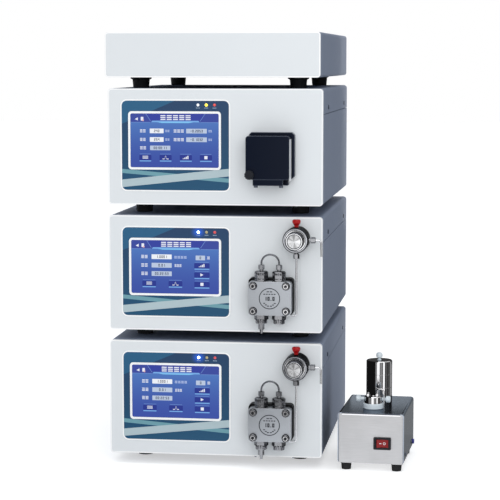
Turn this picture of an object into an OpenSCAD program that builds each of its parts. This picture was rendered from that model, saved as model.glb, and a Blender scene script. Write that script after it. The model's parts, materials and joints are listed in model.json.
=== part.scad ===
// Stacked binary gradient liquid chromatograph: two pumps, a detector and a
// solvent tray, with a free-standing mixing chamber beside the stack.
// Every unit's front face lies near the plane y = 0 and looks along -Y.

/* [Stack] */
// Width of each unit of the stack
unit_w = 260; // [255:1:290]
// Height of an instrument's case and panel
unit_h = 139.5; // [137:0.5:160]
// Depth of an instrument, from panel face to back
unit_d = 343; // [320:1:400]
// Height of a rubber foot, which is the gap between units
foot_h = 13.2; // [10:0.1:18]
// Radius of the feet where they meet the case
foot_r = 13; // [11:0.5:16]
// Distance of the feet from the side of the case
foot_inset = 32.5; // [20:0.5:40]
// Distance of the front feet from the panel face
foot_front = 60; // [40:1:90]
// Distance of the rear feet from the back
foot_rear = 20; // [16:1:50]

/* [Sheet metal] */
// Thickness of the folded sheet metal
sheet = 1.5; // [1:0.1:2]
// Outer radius of the case's long bends and the panel's corners
corner_r = 4; // [3:0.5:8]
// Thickness of the front panel
panel_t = 5; // [3:0.5:6]
// Width of the shadow gap between panel and case
shadow_gap = 6; // [4:0.5:10]
// How far the neck in the shadow gap is set in from the panel's edge
neck_inset = 4; // [2:0.5:6]
// Height of the cover's side skirts
skirt_h = 31; // [20:0.5:45]
// Width of the seam between cover and chassis
seam = 0.8; // [0.4:0.1:1.5]
// Radius of the cover's rear bend
rear_r = 5; // [3:0.5:10]

/* [Solvent tray] */
// Height of the tray
tray_h = 54; // [40:1:80]
// Depth of the tray
tray_d = 383; // [350:1:420]
// How far the tray sits to the left of the stack's centre
tray_shift = 3.5; // [0:0.5:10]
// Width of the folded rim round the tray's opening
tray_rim = 9; // [5:0.5:15]
// Radius of the tray's upright rear edges
tray_rear_r = 8; // [4:0.5:10]

/* [Display] */
// Width of the overlay film
overlay_w = 130.4; // [124:0.2:140]
// Height of the overlay film
overlay_h = 107.4; // [100:0.2:115]
// Corner radius of the overlay film
overlay_r = 6; // [2:0.5:8]
// Thickness of the overlay film
overlay_t = 0.5; // [0.3:0.1:0.8]
// Distance of the overlay's left edge from the panel's left edge
overlay_left = 16.8; // [10:0.2:24]
// Height of the overlay's lower edge above the panel's lower edge
overlay_low = 17.6; // [12:0.2:24]
// Width of the visible screen
screen_w = 107.4; // [104:0.2:110]
// Height of the visible screen
screen_h = 64.6; // [60:0.2:70]
// Distance of the screen's left edge from the overlay's left edge
screen_left = 10.7; // [8:0.1:12]
// Distance of the screen's lower edge from the overlay's lower edge
screen_low = 27.4; // [20:0.2:32]
// Width of the raised frame round the screen
frame_w = 2.6; // [1.5:0.1:3]
// How far the screen frame stands out from the panel
frame_t = 1.1; // [0.8:0.1:1.5]
// Radius of a status light
light_r = 1.6; // [1:0.1:2]
// Spacing of the status lights
light_pitch = 10; // [8:0.5:12]
// Distance of the last status light from the overlay's right edge
light_right = 17.4; // [14:0.2:24]
// Distance of the status lights from the overlay's top edge
light_top = 5; // [4:0.2:6]

/* [Pump head] */
// Distance of the pump head's centre from the panel's right edge
head_right = 60.5; // [56:0.5:66]
// Height of the pump head's centre above the panel's lower edge
head_z = 44.3; // [40:0.1:50]
// Width of the steel pump head
head_w = 51.6; // [46:0.2:56]
// Height of the steel pump head
head_h = 40.6; // [36:0.2:46]
// Thickness of the steel pump head
head_t = 15; // [12:0.5:20]
// Thickness of the black mounting plate behind the pump head
mount_t = 12; // [8:0.5:16]
// Distance between the pump head's two chambers
chamber_pitch = 21.2; // [19:0.2:24]
// Distance between the clamp screws, across
screw_pitch_x = 39.3; // [36:0.1:44]
// Distance between the clamp screws, up
screw_pitch_z = 30.2; // [28:0.1:34]
// Diameter of the clamp screws
screw_d = 5; // [4:1:6]
// Outer diameter of the steel tubes
tube_d = 2.2; // [1.6:0.1:3.2]
// Width across the flats of the check valves
valve_af = 14; // [12:0.2:16]
// Width across the flats of the tube nuts
nut_af = 6.4; // [5:0.2:8]
// Bore for the solvent line in the inlet fittings
inlet_bore = 1.6; // [1:0.1:2]

/* [Purge valve] */
// Distance of the purge valve's axis from the panel's right edge
purge_right = 29.7; // [26:0.1:32]
// Height of the purge valve's axis above the panel's lower edge
purge_z = 114; // [105:0.5:116]
// Radius of the purge valve's body
purge_r = 15.2; // [12:0.1:18]
// Length of the purge valve's body
purge_len = 30; // [24:0.5:36]
// Radius of the sensor cap on the purge valve
cap_r = 10.8; // [8:0.1:12]
// Length of the sensor cap
cap_len = 12; // [8:0.5:16]
// Radius of the red knob's rim
knob_r = 5; // [4:0.1:6]
// Height of the red knob above its seat
knob_h = 9; // [7:0.1:11]
// Distance of the valve's ports and knob from the panel
port_y = 15.5; // [12:0.5:18]
// Height of the outlet tube's open end above the panel's lower edge
outlet_end = 94; // [84:1:100]

/* [Flow cell] */
// Distance of the cell housing's centre from the panel's right edge
cell_right = 60.4; // [40:0.2:68]
// Height of the cell housing's centre above the panel's lower edge
cell_z = 60.6; // [50:0.2:75]
// Width of the cell housing's base
cell_w = 55; // [48:0.2:60]
// Height of the cell housing's base
cell_h = 55; // [48:0.2:60]
// Thickness of the cell housing's base
cell_base_t = 9; // [6:0.5:12]
// Thickness of the cell cover
cell_cover_t = 21; // [14:0.5:26]
// Radius of the locking knob
lock_r = 5.6; // [4:0.1:6.5]

/* [Mixing chamber] */
// Width of the mixer's case
mixer_w = 80; // [74:1:100]
// Height of the mixer's case
mixer_h = 61.5; // [56:0.5:80]
// Depth of the mixer's case
mixer_d = 118; // [112:1:150]
// Height of the mixer's feet
mixer_foot_h = 9.1; // [6:0.1:13]
// Gap between the stack and the mixer
mixer_gap = 19.3; // [10:0.1:60]
// How far the mixer's front corner stands ahead of the stack's front
mixer_ahead = 1.7; // [0:0.1:20]
// Turn of the mixer on the bench, in degrees
mixer_turn = 3; // [0:0.5:6]
// Thickness of the mixer's sheet steel
mixer_sheet = 1.2; // [0.8:0.1:2]
// Radius of the tall steel housing
can_r = 16.2; // [12:0.1:18]
// Height of the tall steel housing
can_h = 49.4; // [40:0.2:70]
// Distance of the tall housing's axis from the mixer's front
can_y = 95; // [90:1:98]
// Radius of the mixing chamber
chamber_r = 10.9; // [8:0.1:12]
// Height of the mixing chamber
chamber_h = 8.6; // [7:0.1:12]
// Radius of the white collar under the mixing chamber
collar_r = 12.4; // [11.5:0.1:14]
// Height of the white collar
collar_h = 6.6; // [4:0.1:8]
// Distance of the mixing chamber's axis from the mixer's front
chamber_y = 34; // [30:1:50]
// Bore for the tube in the mixer's port fittings
port_bore = 1.6; // [1:0.1:2]

/* [Switches] */
// Width of a rocker switch's bezel
bezel_w = 21; // [19:0.5:24]
// Height of a rocker switch's bezel
bezel_h = 15; // [13:0.5:17]
// Width of a rocker
rocker_w = 14; // [12:0.2:16]
// Height of a rocker
rocker_h = 9.6; // [8:0.2:11]
// Half of the angle between a rocker's two positions, in degrees
rocker_tilt = 7; // [5:0.5:9]

/* [Hidden] */
$fn = 48;

// Cutting tools reach this far past the faces they cut
over = 1;
// Play between pieces that pass through each other without touching
play = 0.3;
// Radial clearance of a turning stem in its bore
running = 0.05;

// Stack
pitch = unit_h + foot_h;
unit_z = [foot_h, foot_h + pitch, foot_h + 2 * pitch];
tray_z = foot_h + 3 * pitch;
pumps = [0, 1];
case_y = panel_t + shadow_gap;
seam_z = unit_h - skirt_h;
foot_x = unit_w / 2 - foot_inset;
foot_ys = [foot_front, unit_d - foot_rear];

// Display
overlay_x = -unit_w / 2 + overlay_left + overlay_w / 2;
overlay_z = overlay_low + overlay_h / 2;
screen_x = -unit_w / 2 + overlay_left + screen_left + screen_w / 2;
screen_z = overlay_low + screen_low + screen_h / 2;
light_x = -unit_w / 2 + overlay_left + overlay_w - light_right;
light_z = overlay_low + overlay_h - light_top;
screen_gap = 0.2;
glass_r = 2;
frame_r = 4.2;

// Pump head
head_x = unit_w / 2 - head_right;
head_face = mount_t + head_t;
valve_y = mount_t + head_t / 2;
chambers = [-chamber_pitch / 2, chamber_pitch / 2];
head_top = head_z + head_h / 2;
head_low = head_z - head_h / 2;
valve_h = 11.8;
lower_hex_h = 5.6;
lower_end_h = 5;
nut_h = 7.6;
loop_base = head_top + valve_h + nut_h;
inlet_nut_h = 7;
inlet_tip_h = 5;
inlet_tip_r = 2.3;
inlet_end_r = 1.6;
tube_r = tube_d / 2;
mount_w = head_w + 2.8;
mount_h = head_h + 3.4;
mount_up = 0.9;
guide_r = 7.5;

// Purge valve
purge_x = unit_w / 2 - purge_right;
seat_r = 4.2;
knob_seat = sqrt(purge_r * purge_r - 9) - 0.3;
stem_r = 2;
stem_h = 5.5;
port_neck = 1.9;
link_bend = 3;
outlet_bend = 4.4;
outlet_z = purge_z - 0.4;

// Flow cell
cell_x = unit_w / 2 - cell_right;
cover_inset_x = 3.4;
cover_inset_z = 3.6;
tab_w = 40;
tab_h = 8;
tab_screw_h = 2.6;
cell_low = cell_z - cell_h / 2;
lock_x = cell_x - cell_w / 2 + 3.9;
lock_z = cell_low + 5.6;
lock_t = 5;
lock_stem = 11;

// Mixer
mixer_x = unit_w / 2 + mixer_gap;
mixer_floor = mixer_foot_h;
mixer_top = mixer_foot_h + mixer_h;
mixer_axis = mixer_w / 2 - 1.1;
port_z = mixer_top + collar_h + chamber_h / 2 + 0.6;
switch_in = 26.1;
switch_x = mixer_w - switch_in;
switch_z = mixer_foot_h + 25.1;
mixer_r = 3.4;
mixer_foot_r = 7.6;
mixer_foot_in = 9.5;
mixer_screw_y = 20;
mixer_screw_z = 9;
front_inset = 1;
jack_reach = 1.6;
jack_r = 2.4;
jack_head_r = 3;
jack_y = mixer_d - 6;
jack_z = mixer_foot_h + 5.7;

// Rocker switches
rocker_body_w = bezel_w - 2.4;
rocker_body_h = bezel_h - 2.4;
rocker_depth = 5;
rocker_gap = 0.7;
bezel_t = 1.8;
pivot_y = 1.2;
axle_r = 1.1;

// Rear of the instruments
inlet_w = 27;
inlet_h = 20;
inlet_in = 50;
inlet_x = -unit_w / 2 + inlet_in;
inlet_z = 42;
rear_switch_up = 28;
rear_switch_z = inlet_z + rear_switch_up;
vent_x = 20;
vent_z = 70;
vent_w = 3;
vent_h = 50;
vent_pitch = 8;

// Screws of the covers
cover_screw_r = 1.4;
screw_reach = 3 * sheet;
skirt_screw_front = 56;
skirt_screw_rear = 50;
pump_panel_screws = [49, 95];
detector_panel_screws = [98];

// Inside a pump: the drive's gearbox and motor
gearbox_y = 40;
gearbox_w = 70;
gearbox_d = 100;
gearbox_over = 32;
motor_w = 57;
motor_d = 56;
motor_up = 2;

// Inside the detector: the optical bench and what stands on it
bench_plate = [200, 220, 8];
bench_x = -20;
bench_y = 40;
bench_inset = 20;
pillar_r = 8;
pillar_h = 18;
mirror_box = [90, 110, 60];
lamp_house = [30, 66];
lamp_from_back = 70;
cell_box = [50, 60, 50];

// The origin is the centre of the whole part's footprint, on the bench
mixer_right = mixer_x + max(
    (mixer_w + jack_reach) * cos(mixer_turn) + (jack_y + jack_head_r) * sin(mixer_turn),
    mixer_w * cos(mixer_turn) + mixer_d * sin(mixer_turn)
);
left_end = min(-unit_w / 2, -unit_w / 2 - tray_shift);
rear_end = max(unit_d + 2, tray_d);
front_end = -(purge_len + cap_len);
origin_x = (left_end + mixer_right) / 2;
origin_y = (front_end + rear_end) / 2;

panel_grey = [0.88, 0.89, 0.91];
case_blue = [0.42, 0.47, 0.54];
steel = [0.72, 0.72, 0.73];
dark = [0.08, 0.09, 0.11];
overlay_navy = [0.13, 0.24, 0.36];

// ---------------------------------------------------------------- placing

// Moves what is drawn in the stack's coordinates into the part's frame
module placed() {
    translate([-origin_x, -origin_y, 0]) children();
}

// Places a piece in a unit of the stack, counted from the bench
module in_unit(i) {
    placed() translate([0, 0, unit_z[i]]) children();
}

// Places a piece in the mixer's own coordinates
module in_mixer() {
    placed() translate([mixer_x, -mixer_ahead, 0]) rotate([0, 0, -mixer_turn]) children();
}

// ----------------------------------------------------------------- shapes

// A rectangle with round corners, centred on the origin
module rounded(w, h, r) {
    square([w - 2 * r, h], center = true);
    square([w, h - 2 * r], center = true);
    for (sx = [-1, 1], sz = [-1, 1])
        translate([sx * (w / 2 - r), sz * (h / 2 - r)]) circle(r = r);
}

// Raises an outline of X and Z into a plate from y to y + t
module upright(y, t) {
    translate([0, y + t, 0]) rotate([90, 0, 0]) linear_extrude(t) children();
}

// A round bar along Y, from y to y + t
module bar_y(x, y, z, r, t) {
    translate([x, y, z]) rotate([-90, 0, 0]) cylinder(r = r, h = t);
}

// A hexagon bar with chamfered ends and a flat to the front, standing on the origin
module hex(af, h, chamfer = 0.8) {
    across = af / cos(30);
    intersection() {
        cylinder(d = across, h = h, $fn = 6);
        rotate_extrude() polygon([
            [0, 0], [across / 2 - chamfer, 0], [across / 2, chamfer * 0.7],
            [across / 2, h - chamfer * 0.7], [across / 2 - chamfer, h], [0, h]
        ]);
    }
}

// A quarter bend of tube in the X-Z plane, round a centre at the origin
module bend(radius, from) {
    rotate([90, 0, 0]) rotate([0, 0, from])
        rotate_extrude(angle = 90) translate([radius, 0]) circle(r = tube_r, $fn = 24);
}

// ------------------------------------------------------------ sheet metal

// Outline of an instrument's full section, from its lower edge up
module section_outline(inset, r) {
    translate([0, unit_h / 2]) rounded(unit_w - 2 * inset, unit_h - 2 * inset, r);
}

// Outline of the screen's glass, this much wider and higher in all
module screen_outline(more, r) {
    translate([screen_x, screen_z]) rounded(screen_w + more, screen_h + more, r);
}

// The front panel, with its holes cut by the children
module panel() {
    color(panel_grey) difference() {
        upright(0, panel_t) section_outline(0, corner_r);
        upright(-over, panel_t + 2 * over) screen_outline(screen_gap, glass_r);
        for (k = [0:2])
            bar_y(light_x - k * light_pitch, -over, light_z, light_r + play / 2, panel_t + 2 * over);
        children();
    }
}

// Holes for the two plunger guides of a pump
module guide_holes(y, t) {
    for (dx = chambers) bar_y(head_x + dx, y, head_z, guide_r + play, t);
}

// The folded tub: neck, bulkhead, floor, sides and back in one piece
module chassis() {
    back_y = unit_d - sheet;
    lip = sheet + play;
    lip_up = 0.45 * skirt_h;
    color(case_blue) difference() {
        union() {
            // Floor and sides, up to the seam
            difference() {
                upright(case_y, unit_d - case_y) intersection() {
                    section_outline(0, corner_r);
                    translate([-unit_w / 2, 0]) square([unit_w, seam_z]);
                }
                upright(case_y + sheet, back_y - case_y - sheet)
                    section_outline(sheet, corner_r - sheet);
            }
            // Joggled lips that the cover's skirts close over
            for (side = [-1, 1])
                translate([side * (unit_w / 2 - 1.5 * sheet - play / 2) - sheet / 2, case_y, seam_z - 8])
                    cube([sheet, unit_d - case_y, 8 + lip_up]);
            for (side = [-1, 1])
                translate([side * (unit_w / 2 - 0.75 * sheet - lip / 2) - sheet, case_y, seam_z - 8])
                    cube([2 * sheet, unit_d - case_y, 6]);
            // Bulkhead and back wall, up to the cover
            for (y = [case_y, back_y])
                upright(y, sheet) intersection() {
                    section_outline(sheet, corner_r - sheet);
                    translate([-unit_w / 2, sheet]) square([unit_w, unit_h - 2 * sheet]);
                }
            // Neck in the shadow gap
            upright(panel_t, shadow_gap) difference() {
                section_outline(neck_inset, corner_r);
                section_outline(neck_inset + sheet, corner_r);
            }
        }
        rear_openings(back_y);
        cover_screw_places() translate([0, 0, -screw_reach - over]) cylinder(
            r = cover_screw_r + play / 2, h = screw_reach + 2 * over);
        children();
    }
}

// Openings in an instrument's back wall
module rear_openings(y) {
    upright(y - over, sheet + 2 * over) {
        translate([inlet_x, inlet_z]) square([inlet_w, inlet_h], center = true);
        translate([inlet_x, rear_switch_z]) square([rocker_body_w, rocker_body_h], center = true);
        for (k = [0:9])
            translate([vent_x + k * vent_pitch, vent_z]) rounded(vent_w, vent_h, 1.4);
    }
}

// The cover: a roof with two side skirts, bent down at the back
module cover() {
    color(case_blue) difference() {
        upright(case_y, unit_d - case_y) intersection() {
            section_outline(0, corner_r);
            translate([-unit_w / 2, seam_z + seam]) square([unit_w, skirt_h]);
        }
        upright(case_y - over, unit_d - case_y + 2 * over)
            section_outline(sheet, corner_r - sheet);
        cover_screw_places() translate([0, 0, -screw_reach]) cylinder(r = cover_screw_r + play / 2,
            h = screw_reach + over);
        // The roof's rounded rear edge
        translate([-unit_w / 2 - over, unit_d - rear_r, unit_h - rear_r]) difference() {
            cube([unit_w + 2 * over, rear_r + over, rear_r + over]);
            rotate([0, 90, 0]) cylinder(r = rear_r, h = unit_w + 2 * over);
        }
    }
}

// Places of the screws in a cover's skirts, with Z pointing outwards
module cover_screw_places() {
    for (side = [-1, 1], y = [case_y + skirt_screw_front, unit_d - skirt_screw_rear])
        translate([side * unit_w / 2, y, seam_z + 0.25 * skirt_h]) rotate([0, side * 90, 0])
            children();
}

// A rubber foot, flared where it meets the case, with a recess for its screw
module foot(r, h) {
    rotate_extrude() polygon([
        [0.25 * r, 0], [0.72 * r, 0], [0.76 * r, 0.08 * h], [0.82 * r, 0.76 * h],
        [r, 0.86 * h], [r, h], [0, h], [0, 0.4 * h], [0.25 * r, 0.4 * h]
    ]);
}

// ---------------------------------------------------------------- display

module overlay() {
    color(overlay_navy) difference() {
        upright(-overlay_t, overlay_t) difference() {
            translate([overlay_x, overlay_z]) rounded(overlay_w, overlay_h, overlay_r);
            screen_outline(screen_gap + 2 * frame_w + play, frame_r);
        }
        for (k = [0:2])
            bar_y(light_x - k * light_pitch, -overlay_t - over, light_z, light_r + play / 2,
                overlay_t + 2 * over);
    }
}

// The display module: its glass in the panel's window and its body behind
module screen() {
    module_margin = 6;
    module_t = shadow_gap - 1;
    color([0.16, 0.28, 0.62]) {
        upright(-frame_t / 2, panel_t + frame_t / 2) screen_outline(0, glass_r);
        upright(panel_t, module_t) translate([screen_x, screen_z])
            square([screen_w + 2 * module_margin, screen_h + 2 * module_margin], center = true);
    }
}

module screen_frame() {
    color(steel) upright(-frame_t, frame_t) difference() {
        screen_outline(screen_gap + 2 * frame_w, frame_r);
        screen_outline(screen_gap, glass_r);
    }
}

// A light that fits its hole, with a domed front
module status_light() {
    dome = 0.8;
    rotate([90, 0, 0]) {
        translate([0, 0, -panel_t]) cylinder(r = light_r, h = panel_t + overlay_t);
        translate([0, 0, overlay_t]) intersection() {
            translate([0, 0, -sphere_drop(dome)]) sphere(r = sphere_drop(dome) + dome);
            cylinder(r = light_r, h = dome + over);
        }
    }
}

// How far below its seat the centre of a dome of this height lies
function sphere_drop(dome) = (light_r * light_r - dome * dome) / (2 * dome);

// -------------------------------------------------------------- pump head

module head_mount() {
    color(dark) difference() {
        upright(-mount_t, mount_t) translate([head_x, head_z + mount_up]) rounded(mount_w, mount_h, 5);
        screw_holes(-mount_t - over, mount_t + 2 * over);
    }
}

module screw_holes(y, t) {
    for (sx = [-1, 1], sz = [-1, 1])
        bar_y(head_x + sx * screw_pitch_x / 2, y, head_z + sz * screw_pitch_z / 2,
            screw_d / 2 + play / 2, t);
}

// The steel head block, with an engraved ring on its face
module pump_head() {
    ring_r = 12.5;
    ring_w = 0.6;
    color(steel) difference() {
        upright(-head_face, head_t) translate([head_x, head_z]) rounded(head_w, head_h, 4.5);
        screw_holes(-head_face - over, head_t + 2 * over);
        translate([head_x, -head_face, head_z]) rotate([-90, 0, 0]) difference() {
            translate([0, 0, -over]) cylinder(r = ring_r, h = over + 0.4);
            translate([0, 0, -2 * over]) cylinder(r = ring_r - ring_w, h = 4 * over);
        }
    }
}

// A socket head screw that clamps the head and its mount to the drive
module head_screw() {
    rotate([90, 0, 0]) difference() {
        union() {
            cylinder(d = screw_d, h = head_face);
            translate([0, 0, head_face]) cylinder(d = 1.7 * screw_d, h = 0.85 * screw_d);
            translate([0, 0, head_face + 0.85 * screw_d])
                cylinder(d1 = 1.7 * screw_d, d2 = 1.5 * screw_d, h = 0.1 * screw_d);
        }
        translate([0, 0, head_face + 0.45 * screw_d])
            cylinder(d = 0.8 * screw_d / cos(30), h = screw_d, $fn = 6);
    }
}

// Check valves of one head: two outlets on top and two inlets below
module head_valves() {
    for (dx = chambers) translate([head_x + dx, -valve_y, 0]) {
        translate([0, 0, head_top]) upper_valve();
        translate([0, 0, head_low]) mirror([0, 0, 1]) {
            hex(valve_af + 0.8, lower_hex_h);
            translate([0, 0, lower_hex_h]) hex(valve_af - 2, lower_end_h);
        }
    }
}

// A hexagon outlet valve with two turned grooves
module upper_valve() {
    groove = 0.7;
    difference() {
        hex(valve_af, valve_h, 1.4);
        for (z = [0.22, 0.78] * valve_h)
            translate([0, 0, z - groove / 2]) difference() {
                cylinder(r = valve_af, h = groove);
                translate([0, 0, -over]) cylinder(r = valve_af / 2 - 0.4, h = groove + 2 * over);
            }
    }
}

// A tube nut: a threaded neck and a small hexagon, standing on the origin
module tube_nut(neck) {
    difference() {
        union() {
            cylinder(r = 0.36 * nut_af, h = neck);
            translate([0, 0, neck]) hex(nut_af, nut_h - neck, 0.6);
        }
        translate([0, 0, neck]) cylinder(r = tube_r + play / 3, h = nut_h);
    }
}

// The loop between the two outlet valves
module loop_tube() {
    leg = nut_h - port_neck + 1.6;
    translate([head_x, -valve_y, loop_base + 1.6]) {
        rotate([90, 0, 0]) rotate_extrude(angle = 180)
            translate([chamber_pitch / 2, 0]) circle(r = tube_r, $fn = 24);
        for (dx = chambers) translate([dx, 0, -leg]) cylinder(r = tube_r, h = leg);
    }
}

// The tube from the purge valve down to the second chamber's lower valve
module link_tube() {
    top = purge_z - purge_r - port_neck;
    low = head_low - tube_r - play / 2;
    flank = (valve_af + 0.8) / 2 / cos(30) - (abs(valve_y - port_y) - tube_r) * tan(30);
    left = head_x + chamber_pitch / 2 + flank + play / 6;
    translate([purge_x, -port_y, low + link_bend]) cylinder(r = tube_r, h = top - low - link_bend);
    translate([purge_x - link_bend, -port_y, low + link_bend]) bend(link_bend, -90);
    translate([left, -port_y, low]) rotate([0, 90, 0])
        cylinder(r = tube_r, h = purge_x - link_bend - left);
}

// The outlet tube, which turns down beside the panel's edge
module outlet_tube() {
    start = purge_x + purge_r + port_neck;
    turn = start + nut_h + 0.6;
    translate([start, -port_y, outlet_z]) rotate([0, 90, 0]) cylinder(r = tube_r, h = turn - start);
    translate([turn, -port_y, outlet_z - outlet_bend]) bend(outlet_bend, 0);
    translate([turn + outlet_bend, -port_y, outlet_end])
        cylinder(r = tube_r, h = outlet_z - outlet_bend - outlet_end);
}

// The fitting under the first chamber, which takes the solvent line
module inlet_fitting() {
    mirror([0, 0, 1]) difference() {
        union() {
            hex(nut_af, inlet_nut_h, 0.6);
            translate([0, 0, inlet_nut_h])
                cylinder(r1 = inlet_tip_r, r2 = inlet_end_r, h = inlet_tip_h);
        }
        translate([0, 0, inlet_nut_h]) cylinder(d = inlet_bore, h = inlet_tip_h + over);
    }
}

// ------------------------------------------------------------ purge valve

// The turned valve body, with a stem bore on top and a bore for the cap
module valve_body() {
    chamfer = 1.6;
    color(steel) translate([purge_x, 0, purge_z]) difference() {
        rotate([90, 0, 0]) rotate_extrude() polygon([
            [0, 0], [purge_r - 0.4, 0], [purge_r - 0.4, 2], [purge_r, 2.6],
            [purge_r, purge_len - chamfer], [purge_r - chamfer * 0.6, purge_len],
            [purge_r - 2.4, purge_len], [purge_r - 2.6, purge_len - 0.5],
            [purge_r - 3, purge_len - 0.5], [purge_r - 3.2, purge_len],
            [cap_r + play / 2, purge_len], [cap_r + play / 2, purge_len - 1.5],
            [0, purge_len - 1.5]
        ]);
        translate([0, -port_y, 0]) {
            translate([0, 0, knob_seat]) cylinder(r = seat_r, h = purge_r);
            translate([0, 0, knob_seat - stem_h - 0.5]) cylinder(r = stem_r + running, h = purge_r);
        }
    }
}

// The sensor cap, seated in the body's recess
module valve_cap() {
    rotate([90, 0, 0]) translate([0, 0, purge_len - 1.5]) rotate_extrude() polygon([
        [0, 0], [cap_r, 0], [cap_r, cap_len + 0.4], [cap_r - 1.2, cap_len + 1.5],
        [cap_r - 2, cap_len + 1.5], [cap_r - 2.3, cap_len + 1.1], [0, cap_len + 1.1]
    ]);
}

// The red knob, flared upwards, on a stem that turns in the valve body
module valve_knob() {
    color([0.72, 0.09, 0.1]) translate([purge_x, -port_y, purge_z + knob_seat + play])
        difference() {
            rotate_extrude() polygon([
                [0, -stem_h], [stem_r, -stem_h], [stem_r, 0], [2.6, 0], [2.8, 0.26 * knob_h],
                [knob_r - 0.4, 0.52 * knob_h], [knob_r, 0.66 * knob_h],
                [knob_r, 0.88 * knob_h], [knob_r - 1.1, knob_h], [0, knob_h]
            ]);
            for (a = [0:45:315]) rotate([0, 0, a])
                translate([knob_r + 0.9, 0, 2.2]) cylinder(r = 1.3, h = knob_h);
        }
}

// -------------------------------------------------------- inside the pumps

// The drive: gearbox on the floor, plunger guides to the panel and a motor
module pump_drive() {
    gearbox_h = head_z + gearbox_over - sheet;
    color([0.6, 0.61, 0.63]) {
        translate([head_x - gearbox_w / 2, gearbox_y, sheet])
            cube([gearbox_w, gearbox_d, gearbox_h]);
        for (dx = chambers) bar_y(head_x + dx, 0, head_z, guide_r, gearbox_y);
        upright(gearbox_y + gearbox_d, motor_d) translate([head_x, head_z + motor_up])
            rounded(motor_w, motor_w, 5);
    }
}

// The detector's optical bench: plate on pillars, lamp house and mirror box
module detector_bench() {
    top = sheet + pillar_h + bench_plate[2];
    left = -bench_plate[0] / 2 + bench_x;
    color([0.16, 0.17, 0.19]) in_unit(2) {
        for (x = [left + bench_inset, left + bench_plate[0] - bench_inset],
                y = [bench_y + bench_inset, bench_y + bench_plate[1] - bench_inset])
            translate([x, y, sheet]) cylinder(r = pillar_r, h = pillar_h);
        translate([left, bench_y, sheet + pillar_h]) cube(bench_plate);
        translate([left + bench_inset / 2, bench_y + bench_plate[1] - mirror_box[1] - bench_inset, top])
            cube(mirror_box);
        translate([
            left + bench_plate[0] - 2 * bench_inset, bench_y + bench_plate[1] - lamp_from_back, top
        ])
            cylinder(r = lamp_house[0], h = lamp_house[1]);
        translate([cell_x - cell_box[0] / 2, bench_y + 4, top]) cube(cell_box);
    }
}

// -------------------------------------------------------------- flow cell

// The housing's base: a chamfered plate with a tab below
module cell_base() {
    c = 3;
    color(dark) in_unit(2) upright(-cell_base_t, cell_base_t) {
        translate([cell_x, cell_z]) polygon([
            [-cell_w / 2, -cell_h / 2 + c], [-cell_w / 2, cell_h / 2 - c],
            [-cell_w / 2 + c, cell_h / 2], [cell_w / 2 - c, cell_h / 2],
            [cell_w / 2, cell_h / 2 - c], [cell_w / 2, -cell_h / 2 + c],
            [cell_w / 2 - c, -cell_h / 2], [-cell_w / 2 + c, -cell_h / 2]
        ]);
        translate([cell_x - tab_w / 2, cell_low - tab_h]) square([tab_w, tab_h + c]);
    }
}

// The light-tight cover on the base, with a tab and a hole for the lock
module cell_cover() {
    left = cell_x - cell_w / 2 - 1;
    w = cell_w - cover_inset_x + 0.4;
    h = cell_h - cover_inset_z;
    y = -cell_base_t - cell_cover_t;
    color(dark) in_unit(2) difference() {
        union() {
            upright(y, cell_cover_t) translate([left + w / 2, cell_low + h / 2]) rounded(w, h, 3.2);
            upright(y + 1, cell_cover_t - 1)
                translate([cell_x - tab_w / 2, cell_low - tab_h + 0.8])
                    square([tab_w - 4.5, tab_h + 4]);
        }
        bar_y(lock_x, y - over, lock_z, stem_r + running, lock_stem + over + 1);
    }
}

// The round knob that locks the cover, on a short stem
module cell_lock() {
    color(dark) in_unit(2) translate([lock_x, -cell_base_t - cell_cover_t, lock_z])
        rotate([90, 0, 0]) {
            translate([0, 0, play / 3]) difference() {
                cylinder(r = lock_r, h = lock_t);
                for (a = [0:30:330]) rotate([0, 0, a]) translate([lock_r + 0.7, 0, -over])
                    cylinder(r = 1.1, h = lock_t + 2 * over, $fn = 16);
            }
            translate([0, 0, -lock_stem]) cylinder(r = stem_r, h = lock_stem + over);
        }
}

// The two screws under the housing's tab
module cell_screws() {
    color([0.3, 0.3, 0.32]) in_unit(2) for (dx = [-17.2, 13])
        translate([cell_x + dx, -cell_base_t - 13, cell_low - tab_h + 0.8 - tab_screw_h])
            cylinder(r = 2.4, h = tab_screw_h);
}

// ------------------------------------------------------------------- tray

module tray_outline(inset, r) {
    translate([-tray_shift, tray_h / 2]) rounded(unit_w - 2 * inset, tray_h - 2 * inset, r);
}

module tray_front() {
    color(panel_grey) placed() translate([0, 0, tray_z])
        upright(0, panel_t) tray_outline(0, corner_r);
}

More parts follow.
